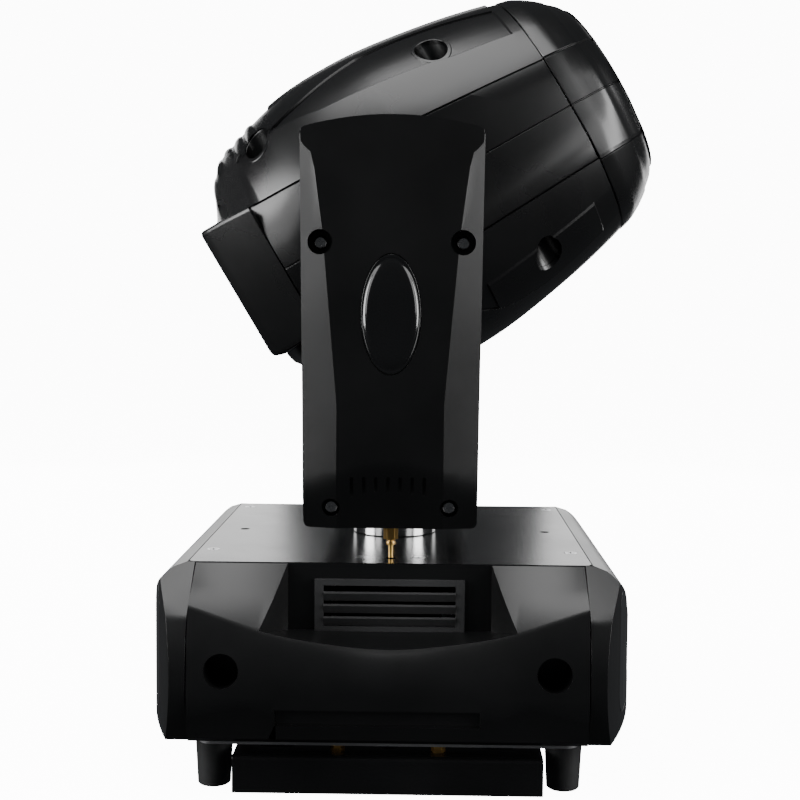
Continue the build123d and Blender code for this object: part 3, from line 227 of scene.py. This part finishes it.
def prism(name, outline, place, depth):
    """Solid from a flat outline; place maps (a, b, height) to a point, in millimetres."""
    bm = bmesh.new()
    ends = [[bm.verts.new(Vector(place(a, b, h)) * MM) for a, b in outline] for h in (0, depth)]
    for i in range(len(outline)):
        j = (i + 1) % len(outline)
        bm.faces.new((ends[0][i], ends[0][j], ends[1][j], ends[1][i]))
    bm.faces.new(ends[0][::-1])
    bm.faces.new(ends[1])
    return object_from(bm, name)


def circle(radius, count=40, centre=(0, 0)):
    """Points of a circle."""
    turns = [2 * math.pi * i / count for i in range(count)]
    return [(centre[0] + radius * math.cos(t), centre[1] + radius * math.sin(t)) for t in turns]


def apply_modifiers(piece):
    """Replace the mesh by what its modifiers make of it."""
    bpy.context.view_layer.update()
    graph = bpy.context.evaluated_depsgraph_get()
    mesh = bpy.data.meshes.new_from_object(piece.evaluated_get(graph))
    piece.modifiers.clear()
    piece.data = mesh


def carve(piece, cutters, solver="EXACT"):
    """Cut other solids out of a piece; the cutters are used up."""
    for cutter in cutters:
        change = piece.modifiers.new("carve", "BOOLEAN")
        change.object = cutter
        change.operation = "DIFFERENCE"
        change.solver = solver
    apply_modifiers(piece)
    for cutter in cutters:
        bpy.data.objects.remove(cutter)


def soften(piece, width, angle=32.0, segments=2):
    """Round the sharp edges, width in millimetres, and smooth the rest."""
    bevel = piece.modifiers.new("edges", "BEVEL")
    bevel.width = width * MM
    bevel.segments = segments
    bevel.limit_method = "ANGLE"
    bevel.angle_limit = math.radians(angle)
    bevel.harden_normals = True
    piece.data.shade_smooth()


def finish_piece(piece, body, slot, *nodes):
    """Put a piece on its body, in place of its CAD nodes, with its slot's material."""
    piece.data.materials.clear()
    piece.data.materials.append(MATERIALS[slot])
    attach(piece, body)
    if nodes:
        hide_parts(*nodes)


def along(table, value):
    """Straight-line interpolation in a table of (place, value) pairs."""
    return float(np.interp(value, [p for p, _ in table], [v for _, v in table]))


# Edge rounding of carried-over CAD nodes, in millimetres, where it isn't DEFAULT_EDGE.
EDGE_WIDTHS = {
    "end_caps": 1.2,
    "front_arm_inner_cover": 0.7,
    "rear_arm_inner_cover": 0.7,
    "crossbar_cover": 0.7,
    "base_top_plate": 0.4,
    "mounting_brackets": 0.4,
    "arm_badges": 0.2,
}
DEFAULT_EDGE = 0.25
WELD_REACH = 2e-6


def dress_cad(node, piece, slot_name):
    """Give a CAD node its material, welded faces and rounded edges."""
    piece.data.materials.clear()
    piece.data.materials.append(MATERIALS[slot_name])
    weld = piece.modifiers.new("weld", "WELD")
    weld.merge_threshold = WELD_REACH
    soften(piece, EDGE_WIDTHS.get(node, DEFAULT_EDGE))
    even = piece.modifiers.new("even", "WEIGHTED_NORMAL")
    even.keep_sharp = True
    even.weight = 100


for entry in frame["record"]["subparts"]:
    dress_cad(entry["node"], frame["nodes"][entry["node"]], entry["material_slot"])

# ---- Yoke arms ---------------------------------------------------------------------------------

ARM_FACE = 131.0
ARM_BACK = 112.3
ARM_BOTTOM = 146.0
ARM_PEAK = 371.0
FACET_PLANE = [(146, 29.2), (216, 29.2), (311, 37.2), (356, 42.8), (371, 44.7)]
FACET_LINE = [(146, 29.2), (216, 29.2), (311, 37.2), (355, 42.8), (362, 49.0), (371, 49.6)]
ARM_SCREWS = [(38.8, 303.0, 6.8), (32.5, 158.0, 5.0)]
BADGE_Z = 264.2


def arm_half_width(z):
    """Half the arm's width, with rounded corners at both ends."""
    side = 48.0 + 2.0 * (z - ARM_BOTTOM) / (ARM_PEAK - ARM_BOTTOM)
    for reach in (z - ARM_BOTTOM, ARM_PEAK - z):
        if reach < 3.0:
            side -= 3.0 - math.sqrt(max(0.0, 9.0 - (3.0 - reach) ** 2))
    return side


def arm_depth(x, z):
    """How far the arm's outer face stands from the middle of the light."""
    facet = along(FACET_LINE, z)
    depth = ARM_FACE - 0.35 * (x / 30) ** 2
    if abs(x) > facet:
        depth -= 0.40 * (abs(x) - along(FACET_PLANE, z))
    scoop = 184.5 - 0.0072 * x * x - z
    if scoop > 0:
        depth -= 0.33 * (scoop - 4 * (1 - math.exp(-scoop / 4)))
    return depth


def arm_cover(name, side, node):
    """Outer half of an arm: faceted face, recessed screws, badge seat and vents."""
    levels = [146, 146.4, 147.2, 149, 153, 157, 161, 165, 168, 171, 174, 177, 179, 181, 183, 185]
    levels += [188, 194, 216, 240, 264, 290, 311, 334, 348, 356, 359, 363, 366, 368, 369.8]
    levels += [370.6, 371]
    rows = []
    for z in levels:
        half = arm_half_width(z)
        facet = min(along(FACET_LINE, z), half - 0.3)
        across = [-half, -(half + facet) / 2, -facet - 0.15] + [facet * k / 8 for k in range(-8, 9)]
        across += [facet + 0.15, (half + facet) / 2, half]
        row = []
        for x in across:
            top = ARM_PEAK - 7.0 * (x / 50) ** 2
            height = ARM_BOTTOM + (z - ARM_BOTTOM) * (top - ARM_BOTTOM) / (ARM_PEAK - ARM_BOTTOM)
            row.append((x, side * arm_depth(x, z), height))
        rows.append(row)
    cover = grid_solid(name, rows, side * ARM_BACK)

    def facing(a, b, h):
        return (a, side * (ARM_FACE + 3 - h), b)

    cutters = []
    for x, z, radius in ARM_SCREWS:
        for sign in (-1, 1):
            cutters.append(prism("well", circle(radius, centre=(sign * x, z)), facing, 19.5))
    seat = [(a * 16.6, BADGE_Z + b * 33.0) for a, b in circle(1, 64)]
    cutters.append(prism("seat", seat, facing, 4.0))
    for k in range(7):
        x = -20.8 + 6.6 * k
        slot = [(x - 0.9, 161), (x + 0.9, 161), (x + 0.9, 175.5), (x - 0.9, 175.5)]
        cutters.append(prism("slot", slot, facing, 7.5))
    carve(cover, cutters)
    soften(cover, 0.45, 14.0, 2)
    finish_piece(cover, "yoke", "black_plastic", node)


def arm_badges():
    """Plain glossy oval domes with a raised lip, one on each arm."""
    profile = [(1.0, -1.0), (1.0, 0.25), (0.985, 0.5), (0.955, 0.5), (0.94, 0.2), (0.925, 0.25)]
    profile += [(0.89, 0.75), (0.85, 1.15), (0.80, 1.5), (0.72, 1.75), (0.55, 1.9), (0.25, 1.98)]
    bm = bmesh.new()
    for side in (-1, 1):
        rings = []
        for share, height in profile:
            y = side * (ARM_FACE - 0.7 + height)
            ring = [(a * 16.3 * share, y, BADGE_Z + b * 32.6 * share) for a, b in circle(1, 72)]
            rings.append(ring)
        last = add_grid(bm, rings, wrap=True)[-1]
        centre = bm.verts.new(Vector((0, side * (ARM_FACE + 1.3), BADGE_Z)) * MM)
        for i, vert in enumerate(last):
            bm.faces.new((vert, last[(i + 1) % len(last)], centre))
    badges = object_from(bm, "oval_badges")
    badges.data.shade_smooth()
    finish_piece(badges, "yoke", "gloss_black", "arm_badges")


arm_cover("front_arm_shell", -1, "front_arm_cover")
arm_cover("rear_arm_shell", 1, "rear_arm_cover")
arm_badges()

# ---- Head --------------------------------------------------------------------------------------

# Measures along the optic axis (u, from the tilt axis), across it upwards (v) and sideways (y).
HEAD_MID = 2.5
COVER_RADIUS = [(-106, 45), (-97, 56), (-88, 73), (-78, 83.5), (-62, 89.5), (-34, 97.3), (14, 99.5)]
COVER_RADIUS += [(63, 93.3), (94, 87), (117, 80.8), (128, 77.2), (136.5, 71.5), (148, 61.5)]
COVER_RADIUS += [(153, 56)]
COVER_INSET = 1.3
CHEEK_REACH = [(-106, 58), (-70, 85), (-25, 91), (25, 91), (70, 85.5), (117, 76), (153, 64)]
SEAM_A = [(-106, 48.2), (-94, 47), (-70, 43.5), (-37, 41), (41, 36.5), (116, 31), (130, 30)]
SEAM_A += [(153, 29)]
SEAM_B = [(-72, 2.0), (0, 0.8), (120, 0.0), (153, -0.5)]
SEAM_C = [(-106, -39), (-71, -38.6), (41, -36.8), (116, -34.2), (136, -33.2), (153, -32.5)]
TOP_LEAF = [(-110, 58), (-52, 55), (-7, 44.7), (28, 42.3), (58, 41), (74, 39), (120, 39)]
TOP_GROOVE = [(-110, 60), (-42, 52), (-15, 56), (5, 61), (27, 66), (52, 68), (79, 66), (109, 62)]
TOP_GROOVE += [(120, 61)]
LOW_LEAF = [(-110, 50), (0, 45), (25, 43.5), (103, 43.5), (120, 43.5)]
LOW_GROOVE = [(-110, 52), (10, 50), (30, 60), (60, 64.5), (103, 62), (120, 61)]
REAR_RIBS = [-88.0, -79.0, -70.0, -61.0, -52.0]
WELLS = [(65.5, 50.0, 93.0), (-50.0, 55.0, 92.7)]
WELL_RADIUS = 9.0
RIB_HEIGHT = 1.3
SKIN = 2.4


def curve(table, value):
    """Smooth curve through a table of (place, value) pairs."""
    places = [p for p, _ in table]
    values = [v for _, v in table]
    i = int(np.clip(np.searchsorted(places, value) - 1, 0, len(places) - 2))
    slopes = np.gradient(values, places)
    span = places[i + 1] - places[i]
    t = float(np.clip((value - places[i]) / span, 0, 1))
    start, end = values[i], values[i + 1]
    rise = (2 * t**3 - 3 * t**2 + 1) * start + (3 * t**2 - 2 * t**3) * end
    return rise + span * ((t**3 - 2 * t**2 + t) * slopes[i] + (t**3 - t**2) * slopes[i + 1])


def head_point(u, v, y):
    """World point, in millimetres, of head measures."""
    place = pivot / MM + float(u) * optic + float(v) * optic_up
    return (place.x, y, place.z)


def skin_point(u, angle, up, sign, lift):
    """Point of the rounded covers; angle in degrees from the cheek towards the crown."""
    radius = curve(COVER_RADIUS, u) - COVER_INSET + lift
    turn = math.radians(angle)
    y = min(radius * math.cos(turn), curve(CHEEK_REACH, u) + 0.2)
    v = radius * math.sin(turn)
    if u < -58:
        shoulder = max(0.0, 76 + 1.2 * (u + 69) - 1.05 * (v - 41.5))
        y = min(y, shoulder + 0.35 * (90 - angle) * (angle > 70))
    return head_point(u, HEAD_MID + up * v, sign * y)


def seam_angle(seam, u, offset=0.0):
    """Angle at which a seam line, moved by offset millimetres, runs round the covers."""
    radius = curve(COVER_RADIUS, u) - COVER_INSET
    share = (along(seam, u) - HEAD_MID + offset) / radius
    return math.degrees(math.asin(max(-0.985, min(0.985, share))))


def cover_lengths():
    """Places along the axis: close together over the ribs and at the panel ends."""
    near = [-101, -100, -98.5, -97, -95, -93] + list(np.arange(-91.5, -48, 0.9))
    far = [-47, -44, -42.5, -41, -38, -35.6, -34.4, -30, -24, -16, -8, 0, 8, 16, 23, 24.6, 25.4, 32]
    far += [40, 48, 56, 64, 72, 80, 88, 96, 101, 102.6, 103.4, 106, 109.4, 110.6, 111.6, 112.4]
    far += [114.5, 116.7]
    return near + far


def head_cover(name, up, seam, leaf, groove, leaf_span, node):
    """Top (up = 1) or bottom (up = -1) cover with its raised leaf panels and crown band."""
    step = 0.4
    columns = []
    for u in cover_lengths():
        start = abs(seam_angle(seam, u, 0.25 * up))
        low = max(along(leaf, u), start + 1.2)
        high = max(along(groove, u), low + 1.2)
        crown = max(78.0, high + 3.0)
        raised = -0.9 * up if leaf_span[0] < u < leaf_span[1] else 0.0
        band = 1.3 if up > 0 and -35 < u < 112 else 0.0
        cut = -1.7 if leaf_span[0] - 12 < u < leaf_span[1] else 0.0
        stations = [(start, 0), (start + 0.7 * (low - start) / 2, 0), (low - step, 0)]
        stations += [(low + step, raised)]
        stations += [(low + (high - low) * k / 4, raised) for k in (1, 2, 3)]
        stations += [(high - step, raised), (high, cut), (high + 2 * step, cut)]
        stations += [(high + 2.6 * step, 0)]
        stations += [(high + (crown - high) * k / 3, 0) for k in (1, 2)]
        stations += [(crown - step, 0), (crown + step, band), ((crown + 90) / 2, band), (90, band)]
        front = []
        for angle, lift in stations:
            if up > 0 and u < -46 and 60 < angle:
                fade = min(1.0, (angle - 60) / 5)
                nearest = min(abs(u - rib) for rib in REAR_RIBS)
                lift += RIB_HEIGHT * fade * max(0.0, 1 - (nearest / 3.2) ** 2) ** 0.7
            front.append((angle, lift))
        row = [skin_point(u, a, up, -1, h) for a, h in front]
        row += [skin_point(u, a, up, 1, h) for a, h in front[-2::-1]]
        columns.append(row)
    bm = bmesh.new()
    add_grid(bm, columns)
    cover = object_from(bm, name)
    thicken(cover)
    drills = []
    for u, angle, radius in WELLS:
        y = radius * math.cos(math.radians(angle))
        for sign in (-1, 1):
            def down(a, b, h, u=u, y=y, sign=sign):
                return head_point(u + a, HEAD_MID + up * (46 + h), sign * y + b)
            drills.append(prism("drill", circle(WELL_RADIUS, 36), down, 60))
    carve(cover, drills, "FAST")
    soften(cover, 0.3, 24.0, 2)
    finish_piece(cover, "head", "head_plastic", node)


def thicken(piece):
    """Give an open skin its wall thickness, inwards."""
    solid = piece.modifiers.new("wall", "SOLIDIFY")
    solid.thickness = SKIN * MM
    solid.offset = -1.0
    solid.use_even_offset = False
    apply_modifiers(piece)


def well_cups():
    """Round cups that line the screw wells of the top and bottom covers."""
    section = [(11, True), (11, False), (9, False), (9, True), (8, True), (2, True)]
    bm = bmesh.new()
    for up in (1, -1):
        for u, angle, radius in WELLS:
            for sign in (-1, 1):
                middle = sign * radius * math.cos(math.radians(angle))
                rings = []
                for reach, bottom in section:
                    ring = []
                    for a, b in circle(reach, 36):
                        skin = curve(COVER_RADIUS, u + a) - COVER_INSET
                        top = math.sqrt(max(0, skin**2 - (middle + b) ** 2)) - 0.9
                        height = 47.5 if bottom else max(49.0, top)
                        ring.append(head_point(u + a, HEAD_MID + up * height, middle + b))
                    rings.append(ring)
                add_grid(bm, rings, wrap=True)
    cups = object_from(bm, "well_cups")
    cups.data.shade_smooth()
    soften(cups, 0.4, 40.0)
    finish_piece(cups, "head", "head_plastic")


def head_cheeks():
    """Flat side panels between seams A and C with a fine joint along their middle."""
    places = [-71, -70, -62, -50, -37, -25, -12, 0, 12, 25, 41, 55, 70, 85, 100, 110, 116, 116.7]
    bm = bmesh.new()
    for sign in (-1, 1):
        rows = []
        for u in places:
            low, middle, high = along(SEAM_C, u) + 0.6, along(SEAM_B, u), along(SEAM_A, u) - 0.25
            stations = [(low, 0.3), (low + 1, 0), (low * 0.6, 0), (low * 0.3, 0), (middle - 0.5, 0)]
            stations += [(middle - 0.15, 0.9), (middle + 0.15, 0.9), (middle + 0.5, 0)]
            stations += [(high * 0.3, 0), (high * 0.6, 0), (high - 1, 0), (high, 0.3)]
            row = []
            for v, sink in stations:
                skin = curve(COVER_RADIUS, u) - 1.9
                outer = min(math.sqrt(skin**2 - (v - HEAD_MID) ** 2), curve(CHEEK_REACH, u))
                y = outer - 0.4 - sink
                row.append(head_point(u, v, sign * y))
            rows.append(row if sign < 0 else row[::-1])
        add_grid(bm, rows)
    cheeks = object_from(bm, "head_side_panels")
    thicken(cheeks)
    soften(cheeks, 0.25, 30.0)
    finish_piece(cheeks, "head", "head_plastic", "head_cheeks")


def tail_box():
    """Boxed rear of the head, chamfered on its sides, with air slots in its flat end."""
    sections = [(-106, 50, -29, 43), (-106, 56.3, -35.0, 46.4), (-105.2, 57.6, -36.6, 47.6)]
    sections += [(-104, 59.0, -37.6, 47.9), (-100, 62.2, -38.9, 47.5), (-90, 69.8, -38.8, 46.4)]
    sections += [(-80, 77.3, -38.7, 44.8), (-71.8, 83.4, -38.5, 43.5)]
    round_by = 3.0
    rows = []
    for u, half, low, high in sections:
        corners = [(-half, low), (half, low), (half, high), (-half, high)]
        ring = []
        for k, (y, v) in enumerate(corners):
            turn = math.radians(225 + 90 * k)
            for swing in (-45, -22.5, 0, 22.5, 45):
                cy = y - round_by * (1 if y > 0 else -1)
                cv = v - round_by * (1 if v > 0 else -1)
                a = turn + math.radians(swing)
                ring.append(head_point(u, cv + round_by * math.sin(a), cy + round_by * math.cos(a)))
        rows.append(ring)
    bm = bmesh.new()
    rings = add_grid(bm, rows, wrap=True)
    bm.faces.new(rings[0][::-1])
    tail = object_from(bm, "head_tail")
    thicken(tail)
    slots = []
    for k in range(-3, 4):
        def through(a, b, h, k=k):
            return head_point(-107 + h, 6 + b, 7.5 * k + a)
        slots.append(prism("slot", [(-1.7, -26), (1.7, -26), (1.7, 26), (-1.7, 26)], through, 6))
    carve(tail, slots)
    soften(tail, 0.5, 24.0)
    finish_piece(tail, "head", "head_plastic", "head_rear_cover")


def bezel_ring():
    """Front ring: tapered outside, seams running on through it, and the lens opening."""
    profile = [(117.3, -3.0), (117.3, -0.7), (117.9, -0.2), (120, -0.1), (124, 0), (127.4, 0)]
    profile += [(128.2, -0.1), (132, 0.1), (136, 0.2), (138.6, 0.3), (140.6, 0.2), (141.4, -0.5)]
    profile += [(144.5, -0.4), (147.5, -0.3), (149.6, -0.8), (151.2, -2.2)]
    lip = [(152.3, 55.6), (152.5, 54.8), (152.3, 54.2), (146, 53.4), (141.5, 53.2)]

    def stations(u):
        """Angles round one side from the bottom to the top, with how deep each is cut."""
        marks = [(a, 0.0) for a in (-90, -78, -66, -56, -47)]
        for seam, half, next_angles in (
            (SEAM_C, 0.9, (-16, -9)),
            (SEAM_B, 0.3, (6, 12)),
            (SEAM_A, 0.55, (38, 48, 58, 68, 79, 90)),
        ):
            for offset, sink in ((-half - 0.3, 0.0), (-half, 1.2), (half, 1.2), (half + 0.3, 0.0)):
                marks.append((seam_angle(seam, u, offset), sink))
            marks += [(a, 0.0) for a in next_angles]
        return marks

    rows = []
    for u, offset in profile:
        radius = curve(COVER_RADIUS, u) - 0.6 + offset
        ring = []
        for sign, marks in ((-1, stations(u)), (1, stations(u)[-2:0:-1])):
            for angle, sink in marks:
                turn = math.radians(angle)
                y = min((radius - sink) * math.cos(turn), curve(CHEEK_REACH, u) - sink + offset)
                v = HEAD_MID + (radius - sink) * math.sin(turn)
                ring.append(head_point(u, v, sign * y))
        rows.append(ring)
    for u, radius in lip:
        ring = []
        for sign, marks in ((-1, stations(152)), (1, stations(152)[-2:0:-1])):
            for angle, _ in marks:
                turn = math.radians(angle)
                v = HEAD_MID + radius * math.sin(turn)
                ring.append(head_point(u, v, sign * radius * math.cos(turn)))
        rows.append(ring)
    bm = bmesh.new()
    add_grid(bm, rows, wrap=True)
    ring = object_from(bm, "front_ring")
    soften(ring, 0.25, 28.0)
    finish_piece(ring, "head", "head_plastic", "front_bezel")


head_cover("head_top_shell", 1, SEAM_A, TOP_LEAF, TOP_GROOVE, (-42, 110), "head_top_cover")
head_cover("head_bottom_shell", -1, SEAM_C, LOW_LEAF, LOW_GROOVE, (25, 103), "head_bottom_cover")
well_cups()
head_cheeks()
tail_box()
bezel_ring()

# ---- Base --------------------------------------------------------------------------------------

SMILE = [(-109, 106), (-92, 100), (-70, 92.5), (-33, 85), (0, 82), (33, 85), (70, 92.5)]
SMILE += [(92, 100), (109, 106)]
CREASE = [(-109, 44.5), (-91, 49), (-76, 52), (-60, 46), (60, 46), (76, 52), (91, 49), (109, 44.5)]
RECESS_WALL = 112.2
COVER_BACK = 109.8


def bumper(name, side):
    """Front or rear cover: curved lip, sunk vent bay between two wedges, screw holes, slot."""
    rows = []
    places = [-108.7 + 108.7 * k / 27 for k in range(55)]
    for k in range(20):
        row = []
        for x in places:
            lip = curve(SMILE, x)
            crease = along(CREASE, x)
            face = [(138.5, 31.3), (141.5, 31.6), (144.6, 34), (147.2, crease)]
            face += [(147.9, crease + 2.0)]
            for share in (0.0, 0.15, 0.3, 0.42, 0.54, 0.64, 0.73, 0.81, 0.88, 0.94, 0.98, 1.0):
                face.append((147.9 - 7.4 * share**2.3, 58 + share * (lip - 59)))
            slope = [(139.3, lip + 0.8), (126, (lip + 124.6) / 2), (112.8, 124.4)]
            y, z = (face + slope)[k]
            row.append((x, side * y, z))
        rows.append(row)
    cover = grid_solid(name, rows, side * COVER_BACK)
    bay = bmesh.new()
    plan = [(-57, RECESS_WALL), (-71.4, 142.4), (71.4, 142.4), (57, RECESS_WALL)]
    steps = [k / 40 for k in range(41)]
    floor = []
    for share in (0, 0.2, 0.4, 0.6, 0.8, 1.0):
        y = RECESS_WALL + share * 30.2
        half = 57 + share * 14.4
        line = []
        for step in steps:
            x = half * (2 * step - 1)
            line.append((x, side * y, 87 + share * (curve(SMILE, x) + 0.2 - 87)))
        floor.append(line)
    bottom = add_grid(bay, floor)
    lid = add_grid(bay, [[(x, y, 135) for x, y, _ in line] for line in floor])
    for low, high in ((bottom[0], lid[0]), (bottom[-1], lid[-1])):
        for i in range(40):
            bay.faces.new((low[i], low[i + 1], high[i + 1], high[i]))
    for end in (0, -1):
        for i in range(5):
            bay.faces.new((bottom[i][end], bottom[i + 1][end], lid[i + 1][end], lid[i][end]))
    cutters = [object_from(bay, "bay")]

    def inwards(a, b, h):
        return (a, side * (150 - h), b)

    for x in (-90, 90):
        cutters.append(prism("hole", circle(9.5, 40, (x, 71.5)), inwards, 27))
    start, end = (-61, 50) if side < 0 else (-50, 61)
    slot = [(start, 42), (end, 42), (end, 51), (start, 51)]
    cutters.append(prism("slot", slot, inwards, 5.5))
    window = [(-41, 79), (41, 79), (41, 115.5), (-41, 115.5)]

    def through_wall(a, b, h):
        return (a, side * (113.6 - h), b)

    cutters.append(prism("window", window, through_wall, 6))
    carve(cover, cutters)
    soften(cover, 0.6, 30.0, 2)
    finish_piece(cover, "base", "black_plastic")
    return cover


fronts = bumper("front_bumper", -1)
bumper("rear_bumper", 1)
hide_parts("bumper_covers")

# ---- Stage: camera, lights and floor -----------------------------------------------------------

BACKDROP = 12.0  # brightness of the floor and of the sky that the camera sees


def aim(thing, position, target):
    """Put a camera or light at a position, looking at a target."""
    thing.location = position
    direction = Vector(target) - Vector(position)
    thing.rotation_euler = direction.to_track_quat("-Z", "Y").to_euler()


def make_camera():
    """Camera in front of the light, a little above its middle and looking slightly down."""
    data = bpy.data.cameras.new("camera")
    data.sensor_width = 36.0
    data.lens = 61.9
    camera = bpy.data.objects.new("camera", data)
    bpy.context.scene.collection.objects.link(camera)
    pan, tilt, roll = -0.019, 0.07, 0.008
    forward = Vector(
        (math.sin(pan) * math.cos(tilt), math.cos(pan) * math.cos(tilt), -math.sin(tilt))
    )
    level = Vector((math.cos(pan), -math.sin(pan), 0))
    upright = level.cross(forward)
    right = math.cos(roll) * level + math.sin(roll) * upright
    up = math.cos(roll) * upright - math.sin(roll) * level
    turn = Matrix((right, up, -forward)).transposed()
    camera.matrix_world = Matrix.Translation(Vector((19.4, -873.6, 270.1)) * MM) @ turn.to_4x4()
    bpy.context.scene.camera = camera


def soft_light(name, position, target, size, power, colour=(1, 1, 1)):
    """Rectangular soft box; size is (width, height) in metres."""
    data = bpy.data.lights.new(name, "AREA")
    data.shape = "RECTANGLE"
    data.size, data.size_y = size
    data.energy = power
    data.color = colour
    light = bpy.data.objects.new(name, data)
    light.visible_camera = False
    bpy.context.scene.collection.objects.link(light)
    aim(light, position, target)


def make_floor():
    """Plain pale floor that the object doesn't mirror."""
    mesh = bpy.data.meshes.new("floor")
    reach = 40.0
    corners = [(-reach, -reach, 0), (reach, -reach, 0), (reach, reach, 0), (-reach, reach, 0)]
    mesh.from_pydata(corners, [], [(0, 1, 2, 3)])
    floor = bpy.data.objects.new("floor", mesh)
    bpy.context.scene.collection.objects.link(floor)
    material, shader = new_material("floor", (0.9, 0.9, 0.9), 0.9, specular=0.1)
    shader.inputs["Emission Color"].default_value = (1, 1, 1, 1)
    shader.inputs["Emission Strength"].default_value = BACKDROP
    mesh.materials.append(material)
    floor.visible_glossy = False
    floor.visible_diffuse = False


def make_world():
    """White to the camera, dim grey to the object."""
    world = bpy.data.worlds.new("world")
    bpy.context.scene.world = world
    world.use_nodes = True
    tree = world.node_tree
    tree.nodes.clear()
    output = tree.nodes.new("ShaderNodeOutputWorld")
    seen = tree.nodes.new("ShaderNodeBackground")
    seen.inputs["Color"].default_value = (1.0, 1.0, 1.0, 1)
    seen.inputs["Strength"].default_value = BACKDROP
    lit = tree.nodes.new("ShaderNodeBackground")
    lit.inputs["Color"].default_value = (0.9, 0.95, 1.0, 1)
    lit.inputs["Strength"].default_value = 0.05
    path = tree.nodes.new("ShaderNodeLightPath")
    mix = tree.nodes.new("ShaderNodeMixShader")
    tree.links.new(path.outputs["Is Camera Ray"], mix.inputs["Fac"])
    tree.links.new(lit.outputs["Background"], mix.inputs[1])
    tree.links.new(seen.outputs["Background"], mix.inputs[2])
    tree.links.new(mix.outputs["Shader"], output.inputs["Surface"])


make_camera()
make_floor()
make_world()
soft_light("left_box", (-1.5, -0.5, 0.65), (0, 0, 0.3), (0.8, 1.2), 40)
soft_light("right_box", (1.5, -0.5, 0.65), (0, 0, 0.3), (0.8, 1.2), 36)
soft_light("front_left_box", (-1.2, -1.25, 0.8), (0, 0, 0.35), (0.5, 1.1), 6)
soft_light("front_right_box", (1.2, -1.25, 0.8), (0, 0, 0.35), (0.5, 1.1), 6)
soft_light("top_box", (-0.2, -0.3, 1.7), (0, 0, 0.2), (1.2, 0.8), 18)
soft_light("back_left", (-0.62, 1.3, 0.5), (0, 0, 0.2), (0.9, 0.7), 5)
soft_light("back_right", (0.62, 1.3, 0.5), (0, 0, 0.2), (0.9, 0.7), 5)
